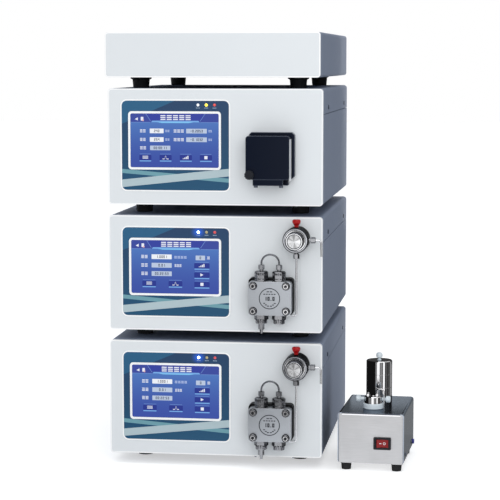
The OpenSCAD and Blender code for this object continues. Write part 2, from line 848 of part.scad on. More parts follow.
// The tray: folded floor and walls, a rim round its opening and a neck
module tray_pan() {
    inner_w = unit_w - 2 * sheet;
    inner_y = case_y + sheet;
    inner_d = tray_d - case_y - 2 * sheet;
    color(case_blue) placed() translate([0, 0, tray_z]) difference() {
        union() {
            upright(case_y, tray_d - case_y) tray_outline(0, corner_r);
            upright(panel_t, shadow_gap) tray_outline(neck_inset, corner_r);
        }
        // The inside below the rim
        translate([-tray_shift - inner_w / 2, inner_y, sheet])
            cube([inner_w, inner_d, tray_h - 2 * sheet]);
        // The opening
        translate([-tray_shift - inner_w / 2 + tray_rim, inner_y + tray_rim, sheet])
            cube([inner_w - 2 * tray_rim, inner_d - 2 * tray_rim, tray_h]);
        // The shadow gap's neck is hollow
        upright(panel_t - over, shadow_gap + over)
            tray_outline(neck_inset + sheet, corner_r);
        // Rounded upright rear edges
        for (side = [-1, 1])
            translate([-tray_shift + side * (unit_w / 2 - tray_rear_r), tray_d - tray_rear_r, -over])
                difference() {
                    translate([side > 0 ? 0 : -tray_rear_r - over, 0, 0])
                        cube([tray_rear_r + over, tray_rear_r + over, tray_h + 2 * over]);
                    cylinder(r = tray_rear_r, h = tray_h + 2 * over);
                }
        // Rounded lower rear edge
        translate([-tray_shift - unit_w / 2 - over, tray_d - rear_r, rear_r]) difference() {
            translate([0, 0, -rear_r - over]) cube([unit_w + 2 * over, rear_r + over, rear_r + over]);
            rotate([0, 90, 0]) cylinder(r = rear_r, h = unit_w + 2 * over);
        }
    }
}

// ------------------------------------------------------------------ mixer

// Outline of the mixer's wrap-round case, from the bench up
module mixer_outline(inset, r) {
    translate([mixer_w / 2, mixer_floor + mixer_h / 2])
        rounded(mixer_w - 2 * inset, mixer_h - 2 * inset, r);
}

// Places of the screws in the mixer's sides, with Z pointing outwards
module mixer_screw_places() {
    for (x = [0, mixer_w], y = [mixer_screw_y, mixer_d - mixer_screw_y - 6])
        translate([x, y, mixer_floor + mixer_screw_z]) rotate([0, x > 0 ? 90 : -90, 0]) children();
}

// The bright case: a roof and two sides, open at front, back and below
module mixer_case() {
    color([0.45, 0.47, 0.5]) in_mixer() difference() {
        upright(0, mixer_d) mixer_outline(0, mixer_r);
        upright(-over, mixer_d + 2 * over) {
            mixer_outline(mixer_sheet, mixer_r - mixer_sheet);
            translate([mixer_sheet, mixer_floor - over])
                square([mixer_w - 2 * mixer_sheet, mixer_h / 2]);
        }
        translate([mixer_w - mixer_sheet - over, jack_y, jack_z])
            rotate([0, 90, 0]) cylinder(r = jack_r + play / 2, h = mixer_sheet + 2 * over);
    }
}

// The base: front plate, floor and back folded from one sheet
module mixer_base() {
    gap = 0.2;
    w = mixer_w - 2 * mixer_sheet - 2 * gap;
    color(steel) in_mixer() difference() {
        upright(front_inset, mixer_d - 2 * front_inset) {
            intersection() {
                mixer_outline(mixer_sheet + gap, mixer_r - mixer_sheet - gap);
                translate([0, mixer_floor + mixer_sheet]) square([mixer_w, mixer_h]);
            }
            translate([mixer_sheet + gap, mixer_floor]) square([w, 2 * mixer_sheet]);
        }
        translate([0, front_inset + mixer_sheet, mixer_floor + mixer_sheet])
            cube([mixer_w, mixer_d - 2 * front_inset - 2 * mixer_sheet, mixer_h]);
        upright(-over, front_inset + mixer_sheet + 2 * over) translate([switch_x, switch_z])
            square([rocker_body_w, rocker_body_h], center = true);
    }
}

module mixer_feet() {
    color([0.06, 0.06, 0.06]) in_mixer()
        for (x = [mixer_foot_in, mixer_w - mixer_foot_in], y = [mixer_foot_in, mixer_d - mixer_foot_in])
            translate([x, y, 0]) foot(mixer_foot_r, mixer_foot_h);
}

// The tall polished housing, with its lid line turned near the top
module mixer_can() {
    color(steel) in_mixer() translate([mixer_axis, can_y, mixer_top]) rotate_extrude() polygon([
        [0, 0], [can_r, 0], [can_r, 0.32 * can_h], [can_r - 0.25, 0.325 * can_h],
        [can_r, 0.33 * can_h], [can_r, 0.66 * can_h], [can_r - 0.25, 0.665 * can_h],
        [can_r, 0.67 * can_h], [can_r, can_h - 0.7], [can_r - 0.7, can_h], [0, can_h]
    ]);
}

// The white round-headed plug on the tall housing
module mixer_can_plug() {
    head = 4;
    color([0.9, 0.92, 0.93]) in_mixer() translate([mixer_axis, can_y, mixer_top + can_h])
        rotate_extrude() polygon([
            [0, 0], [2.6, 0], [2.6, 0.8], [1.5, 1.4], [1.5, 2.6], [0.62 * head, 2.9],
            [0.94 * head, 3.8], [head, 5], [head, 6.8], [0.94 * head, 8], [0.6 * head, 9.2],
            [0, 9.6]
        ]);
}

module mixer_collar() {
    color([0.9, 0.93, 0.94]) in_mixer() translate([mixer_axis, chamber_y, mixer_top])
        rotate_extrude() polygon([
            [0, 0], [collar_r - 0.8, 0], [collar_r, 0.8], [collar_r, collar_h - 0.8],
            [collar_r - 0.8, collar_h], [0, collar_h]
        ]);
}

// The polished mixing chamber, with ports left and right
module mixer_chamber() {
    color(steel) in_mixer() translate([mixer_axis, chamber_y, mixer_top + collar_h])
        rotate_extrude() polygon([
            [0, 0], [chamber_r, 0], [chamber_r, chamber_h - 0.8], [chamber_r - 0.8, chamber_h],
            [2.4, chamber_h], [2, chamber_h + 0.8], [0, chamber_h + 0.8]
        ]);
}

// One white port fitting, with its bore along the way that the tube leaves
module port_fitting() {
    neck_r = 1.9;
    neck = 4.4;
    head_r = 3.9;
    head = 5.6;
    difference() {
        rotate_extrude() polygon([
            [0, 0], [neck_r, 0], [neck_r, neck], [head_r - 0.8, neck], [head_r, neck + 0.8],
            [head_r, neck + head - 0.8], [head_r - 0.8, neck + head], [0, neck + head]
        ]);
        translate([0, 0, neck]) cylinder(d = port_bore, h = head + over);
    }
}

module mixer_ports() {
    color([0.9, 0.93, 0.94]) in_mixer() for (side = [-1, 1])
        translate([mixer_axis + side * chamber_r, chamber_y, port_z])
            rotate([0, side * 90, 0]) port_fitting();
}

// The chamber's two top fittings, and the thin tube from one of them into the case
module mixer_tube() {
    wire_r = 0.6;
    bend_r = 4.2;
    start_x = 5;
    nut = 3;
    top = nut + 1.8;
    down = collar_h + chamber_h + top;
    color(steel) in_mixer()
        translate([mixer_axis, chamber_y - 3, mixer_top + collar_h + chamber_h]) {
            for (x = [-6, start_x]) translate([x, 0, 0]) {
                hex(4.4, nut, 0.4);
                translate([0, 0, nut]) cylinder(r = 1.4, h = top - nut);
            }
            translate([start_x + bend_r, 0, top]) rotate([90, 0, 0]) rotate_extrude(angle = 180)
                translate([bend_r, 0]) circle(r = wire_r, $fn = 16);
            translate([start_x + 2 * bend_r, 0, top - down]) {
                cylinder(r = wire_r, h = down);
                cylinder(r = 1.1, h = 0.8);
            }
        }
}

module mixer_jack() {
    color([0.2, 0.25, 0.7]) in_mixer()
        translate([mixer_w - mixer_sheet - 2, jack_y, jack_z])
            rotate([0, 90, 0]) {
                cylinder(r = jack_r, h = mixer_sheet + 2);
                translate([0, 0, mixer_sheet + 2]) difference() {
                    cylinder(r = jack_head_r, h = jack_reach);
                    translate([0, 0, 0.3]) cylinder(r = 1.2, h = jack_reach);
                }
            }
}

// --------------------------------------------------------------- switches

// A rocker switch's bezel and its body behind the panel, facing -Y
module bezel() {
    body_d = 12;
    difference() {
        union() {
            upright(-bezel_t, bezel_t) rounded(bezel_w, bezel_h, 1.2);
            upright(0, body_d) square([rocker_body_w - 0.4, rocker_body_h - 0.4], center = true);
        }
        upright(-bezel_t - over, rocker_depth + bezel_t + over)
            square([rocker_w + 2 * rocker_gap, rocker_h + 2 * play], center = true);
        translate([0, pivot_y, -rocker_body_h / 2])
            cylinder(r = axle_r + running, h = rocker_body_h);
    }
}

// The rocker: two shallow wings on a stub axle that turns in the bezel's walls
module rocker() {
    wing = rocker_w / 2;
    rise = 3.8;
    axle = rocker_body_h - 1;
    translate([0, pivot_y, 0]) {
        rotate([0, 0, rocker_tilt]) translate([0, 0, -rocker_h / 2]) linear_extrude(rocker_h)
            polygon([
                [-wing, 0.9], [-wing, -rise], [-0.55 * wing, -0.6 * rise], [0, -0.45 * rise],
                [0.55 * wing, -0.6 * rise], [wing, -rise], [wing, 0.9], [0, 1.9]
            ]);
        translate([0, 0, -axle / 2]) cylinder(r = axle_r, h = axle);
    }
}

// A rear power module: inlet with its socket, and the switch's bezel above
module power_inlet() {
    flange = 3;
    depth = 18;
    translate([inlet_x, unit_d, 0]) mirror([0, 1, 0]) {
        difference() {
            union() {
                upright(-2, 2) translate([0, inlet_z])
                    rounded(inlet_w + 2 * flange, inlet_h + 2 * flange, 2);
                upright(0, depth + 2) translate([0, inlet_z])
                    square([inlet_w - 0.4, inlet_h - 0.4], center = true);
            }
            upright(-2 - over, depth + over) translate([0, inlet_z])
                rounded(inlet_w - 4, inlet_h - 4, 3);
        }
        translate([0, 0, rear_switch_z]) bezel();
    }
}

module rear_switch(i) {
    color([0.1, 0.1, 0.1]) in_unit(i) translate([inlet_x, unit_d, rear_switch_z])
        mirror([0, 1, 0]) rocker();
}

// ------------------------------------------------------------------ nodes

module pump_panel() {
    panel() guide_holes(-over, panel_t + 2 * over);
}

module pump_chassis() {
    chassis() guide_holes(case_y - over, sheet + 2 * over);
}

module lower_pump_panel() { in_unit(0) pump_panel(); }
module upper_pump_panel() { in_unit(1) pump_panel(); }
module detector_panel() { in_unit(2) panel(); }
module lower_pump_chassis() { in_unit(0) pump_chassis(); }
module upper_pump_chassis() { in_unit(1) pump_chassis(); }
module detector_chassis() { in_unit(2) chassis(); }
module lower_pump_cover() { in_unit(0) cover(); }
module upper_pump_cover() { in_unit(1) cover(); }
module detector_cover() { in_unit(2) cover(); }
module lower_pump_overlay() { in_unit(0) overlay(); }
module upper_pump_overlay() { in_unit(1) overlay(); }
module detector_overlay() { in_unit(2) overlay(); }
module lower_pump_screen() { in_unit(0) screen(); }
module upper_pump_screen() { in_unit(1) screen(); }
module detector_screen() { in_unit(2) screen(); }
module lower_head_mount() { in_unit(0) head_mount(); }
module upper_head_mount() { in_unit(1) head_mount(); }
module lower_pump_head() { in_unit(0) pump_head(); }
module upper_pump_head() { in_unit(1) pump_head(); }
module lower_valve_body() { in_unit(0) valve_body(); }
module upper_valve_body() { in_unit(1) valve_body(); }
module lower_valve_knob() { in_unit(0) valve_knob(); }
module upper_valve_knob() { in_unit(1) valve_knob(); }
module lower_pump_drive() { in_unit(0) pump_drive(); }
module upper_pump_drive() { in_unit(1) pump_drive(); }
module lower_pump_switch() { rear_switch(0); }
module upper_pump_switch() { rear_switch(1); }
module detector_switch() { rear_switch(2); }

// The feet of the three instruments and of the tray
module stack_feet() {
    color([0.06, 0.06, 0.06]) placed() {
        for (z = unit_z, x = [-foot_x, foot_x], y = foot_ys)
            translate([x, y, z - foot_h]) foot(foot_r, foot_h);
        for (x = [-foot_x, foot_x], y = foot_ys)
            translate([x - tray_shift, y, tray_z - foot_h]) foot(foot_r, foot_h);
    }
}

// A pan head screw with its shank, pointing into the case
module cover_screw() {
    cylinder(r = 2.6, h = 0.9);
    translate([0, 0, -screw_reach]) cylinder(r = cover_screw_r, h = screw_reach);
}

// Screws through the skirts, under the panels and in the mixer's sides
module cover_screws() {
    color([0.25, 0.27, 0.3]) {
        for (i = [0:2]) in_unit(i) {
            cover_screw_places() cover_screw();
            for (x = i == 2 ? detector_panel_screws : pump_panel_screws)
                translate([x, panel_t / 2, -1.2]) cylinder(r = 1.3, h = 1.2);
        }
        in_mixer() mixer_screw_places() cylinder(r = 2, h = 0.8);
    }
}

module screen_frames() {
    for (i = [0:2]) in_unit(i) screen_frame();
}

module status_lights() {
    lamp_colors = ["white", "gold", "firebrick"];
    for (i = [0:2], k = [0:2])
        color(lamp_colors[2 - k]) in_unit(i)
            translate([light_x - k * light_pitch, 0, light_z]) status_light();
}

module power_inlets() {
    color([0.1, 0.1, 0.11]) for (i = [0:2]) in_unit(i) power_inlet();
}

module check_valves() {
    color(steel) for (i = pumps) in_unit(i) head_valves();
}

module inlet_fittings() {
    color(steel) for (i = pumps) in_unit(i)
        translate([head_x - chamber_pitch / 2, -valve_y, head_low - lower_hex_h - lower_end_h])
            inlet_fitting();
}

module head_screws() {
    color(steel) for (i = pumps) in_unit(i)
        for (sx = [-1, 1], sz = [-1, 1])
            translate([head_x + sx * screw_pitch_x / 2, 0, head_z + sz * screw_pitch_z / 2])
                head_screw();
}

module loop_tubes() {
    color(steel) for (i = pumps) in_unit(i) loop_tube();
}

module link_tubes() {
    color(steel) for (i = pumps) in_unit(i) link_tube();
}

module outlet_tubes() {
    color(steel) for (i = pumps) in_unit(i) outlet_tube();
}

// Nuts on the loop's two ends and on the purge valve's two ports
module tube_nuts() {
    color(steel) for (i = pumps) in_unit(i) {
        for (dx = chambers)
            translate([head_x + dx, -valve_y, head_top + valve_h]) tube_nut(port_neck);
        translate([purge_x, -port_y, purge_z - purge_r]) mirror([0, 0, 1]) tube_nut(port_neck);
        translate([purge_x + purge_r, -port_y, outlet_z]) rotate([0, 90, 0]) tube_nut(port_neck);
    }
}

module valve_caps() {
    color(steel) for (i = pumps) in_unit(i) translate([purge_x, 0, purge_z]) valve_cap();
}

module mixer_bezel() {
    color([0.08, 0.08, 0.09]) in_mixer() translate([switch_x, front_inset, switch_z]) bezel();
}

module mixer_rocker() {
    color([0.75, 0.08, 0.08]) in_mixer() translate([switch_x, front_inset, switch_z]) rocker();
}

lower_pump_panel();
lower_pump_chassis();
lower_pump_cover();
lower_pump_overlay();
lower_pump_screen();
lower_head_mount();
lower_pump_head();
lower_valve_body();
lower_valve_knob();
lower_pump_drive();
lower_pump_switch();
upper_pump_panel();
upper_pump_chassis();
upper_pump_cover();
upper_pump_overlay();
upper_pump_screen();
upper_head_mount();
upper_pump_head();
upper_valve_body();
upper_valve_knob();
upper_pump_drive();
upper_pump_switch();
detector_panel();
detector_chassis();
detector_cover();
detector_overlay();
detector_screen();
detector_bench();
detector_switch();
cell_base();
cell_cover();
cell_lock();
cell_screws();
tray_front();
tray_pan();
stack_feet();
cover_screws();
screen_frames();
status_lights();
power_inlets();
check_valves();
inlet_fittings();
head_screws();
loop_tubes();
link_tubes();
outlet_tubes();
tube_nuts();
valve_caps();
mixer_case();
mixer_base();
mixer_feet();
mixer_can();
mixer_can_plug();
mixer_chamber();
mixer_collar();
mixer_ports();
mixer_tube();
mixer_bezel();
mixer_rocker();
mixer_jack();
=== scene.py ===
"""A stacked liquid chromatograph and its mixing chamber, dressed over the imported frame."""

import json
import math

import bmesh
import bpy
from bpy.props import FloatProperty, FloatVectorProperty, PointerProperty
from mathutils import Matrix, Vector


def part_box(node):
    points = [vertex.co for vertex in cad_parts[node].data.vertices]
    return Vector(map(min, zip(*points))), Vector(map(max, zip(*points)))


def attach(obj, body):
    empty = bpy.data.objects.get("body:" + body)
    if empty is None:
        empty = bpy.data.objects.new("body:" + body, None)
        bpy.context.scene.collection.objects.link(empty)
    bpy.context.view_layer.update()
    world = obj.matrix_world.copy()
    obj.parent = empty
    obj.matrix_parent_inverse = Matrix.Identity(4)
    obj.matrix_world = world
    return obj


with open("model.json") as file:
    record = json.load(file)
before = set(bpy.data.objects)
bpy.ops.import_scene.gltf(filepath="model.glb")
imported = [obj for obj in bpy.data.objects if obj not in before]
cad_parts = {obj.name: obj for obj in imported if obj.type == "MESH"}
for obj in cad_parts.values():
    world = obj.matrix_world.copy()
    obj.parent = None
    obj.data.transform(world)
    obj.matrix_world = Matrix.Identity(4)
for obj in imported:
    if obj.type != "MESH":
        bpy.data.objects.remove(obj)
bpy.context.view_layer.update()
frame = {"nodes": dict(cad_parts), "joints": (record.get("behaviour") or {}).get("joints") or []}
NODES = frame["nodes"]

bl_info = {
    "name": "Liquid Chromatograph",
    "version": (1, 0, 0),
    "blender": (4, 5, 0),
    "location": "View3D > Sidebar > Chromatograph",
    "description": "Finishes, displays and small parts of a stacked liquid chromatograph",
    "category": "Object",
}

MM = 0.001
PUMPS = ("lower", "upper")
UNITS = ("lower_pump", "upper_pump", "detector")
MIXER_TURN = math.radians(3)


def srgb(red, green, blue):
    """A colour given in 0 to 255 display values, as scene linear values."""
    shares = [value / 255 for value in (red, green, blue)]
    return tuple(
        share / 12.92 if share <= 0.04045 else ((share + 0.055) / 1.055) ** 2.4 for share in shares
    )


# ------------------------------------------------------------------ settings


def colour_setting(name, description, default):
    """A colour that a user can change."""
    return FloatVectorProperty(
        name=name, description=description, default=default, subtype="COLOR", size=3, min=0, max=1
    )


def length_setting(name, description, default):
    """A length in metres that a user can change."""
    return FloatProperty(
        name=name, description=description, default=default, min=0, unit="LENGTH", precision=5
    )


class PaintSettings(bpy.types.PropertyGroup):
    """Colours of the painted, plated and moulded parts."""

    panel: colour_setting("Panels", "Powder coat of the front panels", srgb(225, 229, 232))
    # The panels' rounded edges and a narrow band along them are white: a painted highlight where light
    # catches the edges.
    edge: colour_setting("Panel edge highlight", "Rounded edges of the panels", srgb(255, 255, 255))
    highlight_band: length_setting("Panel border", "Width of the bright border of a panel", 1.1 * MM)
    corner: length_setting("Panel corner", "Radius of a panel's corners", 4 * MM)
    case: colour_setting("Cases", "Powder coat of the cases and the tray", srgb(134, 144, 164))
    satin: colour_setting("Satin steel", "Blasted steel of the pump heads", srgb(172, 176, 182))
    valve: colour_setting("Valve steel", "Turned steel of valves and nuts", srgb(150, 151, 155))
    bright: colour_setting("Bright steel", "Mirror steel of the housings", srgb(212, 212, 214))
    mixer_case: colour_setting("Mixer case", "Polished case of the mixer", srgb(150, 157, 168))
    mixer_front: colour_setting("Mixer front", "Brushed front of the mixer", srgb(184, 184, 186))
    black: colour_setting("Black mouldings", "Gloss black mouldings", srgb(3, 13, 32))
    rubber: colour_setting("Rubber", "Rubber of the feet", srgb(24, 25, 28))
    red: colour_setting("Red mouldings", "Purge knobs", srgb(172, 16, 20))
    white: colour_setting("White mouldings", "Plugs and port fittings", srgb(214, 224, 230))


class FilmSettings(bpy.types.PropertyGroup):
    """Colours of the printed films on the panels."""

    navy: colour_setting("Navy", "Upper ground of the film", srgb(44, 70, 104))
    sea: colour_setting("Sea", "Lower ground of the film", srgb(38, 84, 116))
    teal: colour_setting("Teal", "Corner facet and thin stripe", srgb(48, 98, 134))
    pale: colour_setting("Pale", "Wide stripe", srgb(178, 196, 202))
    mist: colour_setting("Mist", "Narrow stripe", srgb(112, 160, 172))
    corner: length_setting("Corners", "Radius of the films' corners", 6 * MM)
    # The pale rim round each film is a thin raised band painted white: a painted highlight along the
    # film's edge.
    rim: length_setting("Rim", "Width of the pale rim", 1.5 * MM)
    layer: length_setting("Layer", "Thickness of the rim and the marks", 0.05 * MM)


class DisplaySettings(bpy.types.PropertyGroup):
    """Sizes and colours of the picture on a display."""

    margin: length_setting("Margin", "How far the display reaches behind the panel", 6 * MM)
    proud: length_setting("Layer", "Thickness of one layer of the picture", 0.03 * MM)
    ground: colour_setting("Ground", "Lower ground of the picture", srgb(58, 80, 164))
    sky: colour_setting("Sky", "Upper ground of the picture", srgb(84, 130, 198))
    header: colour_setting("Header", "Band behind the title", srgb(58, 74, 156))
    glow: colour_setting("Glow", "Light lines and button edges", srgb(120, 172, 230))
    button: colour_setting("Button", "Face of a button", srgb(38, 54, 140))
    ink: colour_setting("Ink", "Digits in the value boxes", srgb(30, 40, 70))
    paper: colour_setting("Paper", "Value boxes that can be set", srgb(240, 244, 250))
    grey: colour_setting("Grey", "Value boxes that only show", srgb(188, 202, 224))


class StageSettings(bpy.types.PropertyGroup):
    """Camera, lamps and floor."""

    lens: FloatProperty(name="Lens", description="Focal length", default=129.17, unit="CAMERA")
    side: length_setting("Camera side", "Camera's place to the right", 0.27965)
    back: length_setting("Camera back", "Camera's distance in front of the origin", 2.2933)
    height: length_setting("Camera height", "Camera's height over the bench", 0.49115)
    turn: FloatProperty(
        name="Turn", description="Camera's turn to the left", default=0.1352, subtype="ANGLE"
    )
    dip: FloatProperty(
        name="Dip", description="Camera's look below level", default=0.1051, subtype="ANGLE"
    )
    fill: FloatProperty(name="Fill", description="Level of the even light", default=0.62, min=0)
    key: FloatProperty(name="Key", description="Power of the key lamp", default=25, min=0, unit="POWER")
    top: FloatProperty(name="Top", description="Power of the top lamp", default=12, min=0, unit="POWER")
    floor: colour_setting("Floor", "Colour of the floor", (0.82, 0.83, 0.84))
    reach: length_setting("Screens", "Distance of the tall screens from the mixer", 0.72)
    low_reach: length_setting("Low screens", "Distance of the low screens from the mixer", 0.36)


SETTINGS = {
    "chromatograph_paint": PaintSettings,
    "chromatograph_film": FilmSettings,
    "chromatograph_display": DisplaySettings,
    "chromatograph_stage": StageSettings,
}


# ----------------------------------------------------------------- materials


class Web:
    """The nodes of a material or a world, and short ways to add to them."""

    def __init__(self, owner):
        owner.use_nodes = True
        self.tree = owner.node_tree

    def node(self, kind, settings=None, **inputs):
        """Adds a node. An input is a plain value or another node's output."""
        added = self.tree.nodes.new("ShaderNode" + kind)
        for key, value in (settings or {}).items():
            setattr(added, key, value)
        for key, value in inputs.items():
            self.feed(value, added.inputs[int(key[1:]) if key[1:].isdigit() else key])
        return added

    def feed(self, value, socket):
        """Links an output to a socket, or sets a plain value or colour on it."""
        if isinstance(value, bpy.types.NodeSocket):
            self.tree.links.new(value, socket)
        elif socket.type == "RGBA":
            socket.default_value = (*value, 1)
        else:
            socket.default_value = value

    def show(self, shader, output="Material Output"):
        """Makes a shader node the one that shows."""
        self.feed(shader.outputs[0], self.tree.nodes[output].inputs["Surface"])

    def math(self, operation, *values):
        """One sum of numbers, each a plain number or an output."""
        inputs = {"i%d" % k: value for k, value in enumerate(values)}
        return self.node("Math", {"operation": operation}, **inputs).outputs[0]

    def seen_rays(self):
        """1 for rays that show the background: from the camera, off gloss and through glass."""
        path = self.node("LightPath").outputs
        seen = self.math("MAXIMUM", path["Is Camera Ray"], path["Is Glossy Ray"])
        return self.math("MAXIMUM", seen, path["Is Transmission Ray"])


class Finish(Web):
    """One material and the nodes that feed its shader."""

    def __init__(self, name, colour, roughness=0.5, metallic=0.0, **values):
        self.material = bpy.data.materials.new(name)
        super().__init__(self.material)
        self.shader = self.tree.nodes["Principled BSDF"]
        self.shade(base_color=colour, roughness=roughness, metallic=metallic, **values)

    def shade(self, **values):
        """Sets values on the shader's own sockets, or links outputs to them."""
        for name, value in values.items():
            socket = name.replace("_", " ").title().replace("Ior", "IOR")
            self.feed(value, self.shader.inputs[socket])

    def place(self, stretch=None, kind="Object"):
        """Coordinates of the surface, which may be stretched along the axes."""
        source = self.node("TexCoord").outputs[kind]
        if stretch:
            source = self.node("Mapping", Vector=source, Scale=stretch).outputs["Vector"]
        return source

    def axes(self, kind="Object"):
        """Coordinates of the surface, axis by axis."""
        return self.node("SeparateXYZ", Vector=self.place(kind=kind)).outputs

    def noise(self, size, stretch=None, detail=2.0):
        """Noise whose grains are about this many metres across."""
        place = self.place(stretch)
        return self.node("TexNoise", Vector=place, Scale=0.5 / size, Detail=detail).outputs["Fac"]

    def spread(self, value, low, high, start=0.0, end=1.0):
        """Maps start to end onto low to high."""
        ends = {"From Min": start, "From Max": end, "To Min": low, "To Max": high}
        return self.node("MapRange", Value=value, **ends).outputs[0]

    def mix(self, share, first, second):
        """Blends two colours, each a colour or an output."""
        return self.node("Mix", {"data_type": "RGBA"}, i0=share, i6=first, i7=second).outputs[2]

    def tint(self, colour, amount, size, stretch=None):
        """Varies the base colour a little from place to place."""
        darker = [value * (1 - amount) for value in colour]
        lighter = [min(value * (1 + amount), 1) for value in colour]
        self.shade(base_color=self.mix(self.noise(size, stretch), darker, lighter))

    def vary_roughness(self, low, high, size, stretch=None):
        """Varies the roughness from place to place."""
        self.shade(roughness=self.spread(self.noise(size, stretch), low, high))

    def bumped(self, height, depth, strength=1.0):
        """Raises the surface by a height field, and gives the material."""
        bump = self.node("Bump", Height=height, Distance=depth, Strength=strength)
        self.shade(normal=bump.outputs[0])
        return self.material


def powder_coat(name, colour, roughness, gloss=0.3):
    """Paint with a fine pebbled grain."""
    coat = Finish(name, colour, roughness, specular_ior_level=gloss)
    coat.tint(colour, 0.025, 60 * MM)
    coat.vary_roughness(roughness - 0.05, roughness + 0.05, 4 * MM)
    return coat.bumped(coat.noise(0.5 * MM, detail=3.0), 0.02 * MM, 0.5)


def satin_steel(name, colour, roughness=0.36):
    """Blasted steel with a fine even grain."""
    steel = Finish(name, colour, roughness, 1.0)
    steel.tint(colour, 0.06, 0.6 * MM)
    steel.vary_roughness(roughness - 0.06, roughness + 0.08, 2 * MM)
    return steel.bumped(steel.noise(0.18 * MM, detail=3.0), 0.01 * MM, 0.5)


def brushed_steel(name, colour, roughness):
    """Steel with clouds and fine scratches from side to side."""
    stretch = (0.03, 1, 1)
    steel = Finish(name, colour, roughness, 1.0, anisotropic=0.5)
    steel.tint(colour, 0.08, 0.5 * MM, stretch)
    steel.vary_roughness(roughness - 0.07, roughness + 0.09, 0.4 * MM, stretch)
    cloud = steel.spread(steel.noise(22 * MM, detail=3.0), 0.86, 1.16)
    shade = steel.shader.inputs["Base Color"].links[0].from_socket
    clouded = steel.node("VectorMath", {"operation": "SCALE"}, i0=shade, Scale=cloud)
    steel.shade(base_color=clouded.outputs[0])
    return steel.bumped(steel.noise(0.12 * MM, stretch), 0.006 * MM, 0.6)


def polished_steel(name, colour, roughness=0.09, wave=25 * MM, rim=0.6, cast=(1, 1, 1)):
    """Mirror steel whose sheet is not quite flat, and which darkens where it turns away."""
    tint = [rim * share for share in cast]
    steel = Finish(name, colour, roughness, 1.0, specular_tint=tint)
    steel.vary_roughness(roughness - 0.02, roughness + 0.05, 3 * MM)
    return steel.bumped(steel.noise(wave), 0.05 * MM, 0.4)


def turned_steel(name, colour, roughness=0.2, painted_sheen=0.0):
    """Steel with the fine rings of a lathe round its object's own origin, and maybe a painted sheen:
    darker sectors in its colour round the axis.
    """
    steel = Finish(name, colour, roughness, 1.0, anisotropic=0.85)
    tangent = steel.node("Tangent", {"direction_type": "RADIAL", "axis": "Y"})
    steel.shade(tangent=tangent.outputs[0])
    flat = (1, 0.01, 1)
    rings = steel.node("VectorMath", {"operation": "LENGTH"}, i0=steel.place(flat)).outputs["Value"]
    grain = {"W": rings, "Scale": 0.5 / (0.15 * MM)}
    ring_noise = steel.node("TexNoise", {"noise_dimensions": "1D"}, **grain).outputs["Fac"]
    steel.shade(roughness=steel.spread(ring_noise, roughness - 0.06, roughness + 0.12))
    # Painted sheen: sectors round the axis are darker, as the turned face's highlights would be.
    if painted_sheen:
        ray = steel.node("VectorMath", {"operation": "NORMALIZE"}, i0=steel.place(flat)).outputs[0]
        sectors = steel.node("TexNoise", Vector=ray, Scale=1.3, Detail=4.0).outputs["Fac"]
        darker = [value * (1 - painted_sheen) for value in colour]
        share = steel.spread(sectors, 0, 1, 0.38, 0.62)
        steel.shade(base_color=steel.mix(share, darker, colour))
    return steel.bumped(ring_noise, 0.004 * MM, 0.5)


def moulded(name, colour, roughness, gloss=0.5):
    """Moulded plastic with a faint grain."""
    plastic = Finish(name, colour, roughness, specular_ior_level=gloss)
    plastic.tint(colour, 0.06, 8 * MM)
    plastic.vary_roughness(max(roughness - 0.05, 0.02), roughness + 0.06, 3 * MM)
    return plastic.bumped(plastic.noise(0.4 * MM), 0.01 * MM, 0.3)


def rubber(name, colour):
    """Dusty rubber."""
    gum = Finish(name, colour, 0.75, specular_ior_level=0.3)
    gum.tint(colour, 0.25, 1.5 * MM)
    gum.vary_roughness(0.62, 0.85, 2 * MM)
    return gum.bumped(gum.noise(0.3 * MM), 0.03 * MM, 0.5)


def lit(name, level=1.0):
    """A layer of a lit picture, which still needs its colour."""
    dark = (0.01, 0.01, 0.02)
    return Finish(name, dark, 0.3, specular_ior_level=0.12, emission_strength=level)


def lit_layer(name, colour):
    """A layer of one colour, with the fine lines of its pixels."""
    layer = lit("Display " + name)
    pixel = 0.17 * MM
    wave = {"Vector": layer.place(), "Scale": 0.31 / pixel}
    lines = layer.node("TexWave", {"bands_direction": "X"}, **wave).outputs["Fac"]
    darker = [0.93 * value for value in colour]
    layer.shade(emission_color=layer.mix(lines, darker, colour))
    return layer.material


def finished(material, *nodes):
    """Puts one finish on several nodes of the frame."""
    for name in nodes:
        slots = NODES[name].data.materials
        slots.clear()
        slots.append(material)


def softened(width, *nodes, segments=2, edge=None):
    """Rounds the sharp edges of nodes, and may give the rounding a finish of its own."""
    for name in nodes:
        part = NODES[name]
        weld = part.modifiers.new("Joined faces", "WELD")
        weld.merge_threshold = 0.001 * MM
        flat = part.modifiers.new("Flat faces", "DECIMATE")
        flat.decimate_type = "DISSOLVE"
        flat.angle_limit = math.radians(0.5)
        bevel = part.modifiers.new("Soft edges", "BEVEL")
        bevel.width = width
        bevel.segments = segments
        bevel.limit_method = "ANGLE"
        bevel.angle_limit = math.radians(40)
        if edge:
            part.data.materials.append(edge)
            bevel.material = len(part.data.materials) - 1
        normals = part.modifiers.new("Even shading", "WEIGHTED_NORMAL")
        normals.keep_sharp = True


def middle_of(low, high):
    """Middle of a box."""
    return (low + high) / 2


def solids_of(name):
    """Lowest and highest corner of each solid of a node, ordered from below and the left."""
    mesh = bmesh.new()
    mesh.from_mesh(NODES[name].data)
    bmesh.ops.remove_doubles(mesh, verts=mesh.verts, dist=0.001 * MM)
    waiting = set(mesh.verts)
    boxes = []
    while waiting:
        edge, places = [waiting.pop()], []
        while edge:
            corner = edge.pop()
            places.append(corner.co.copy())
            linked = {link.other_vert(corner) for link in corner.link_edges} & waiting
            waiting -= linked
            edge.extend(linked)
        boxes.append([Vector(map(pick, zip(*places))) for pick in (min, max)])
    mesh.free()
    return sorted(boxes, key=lambda box: (round(box[0].z, 4), round(box[0].x, 4)))


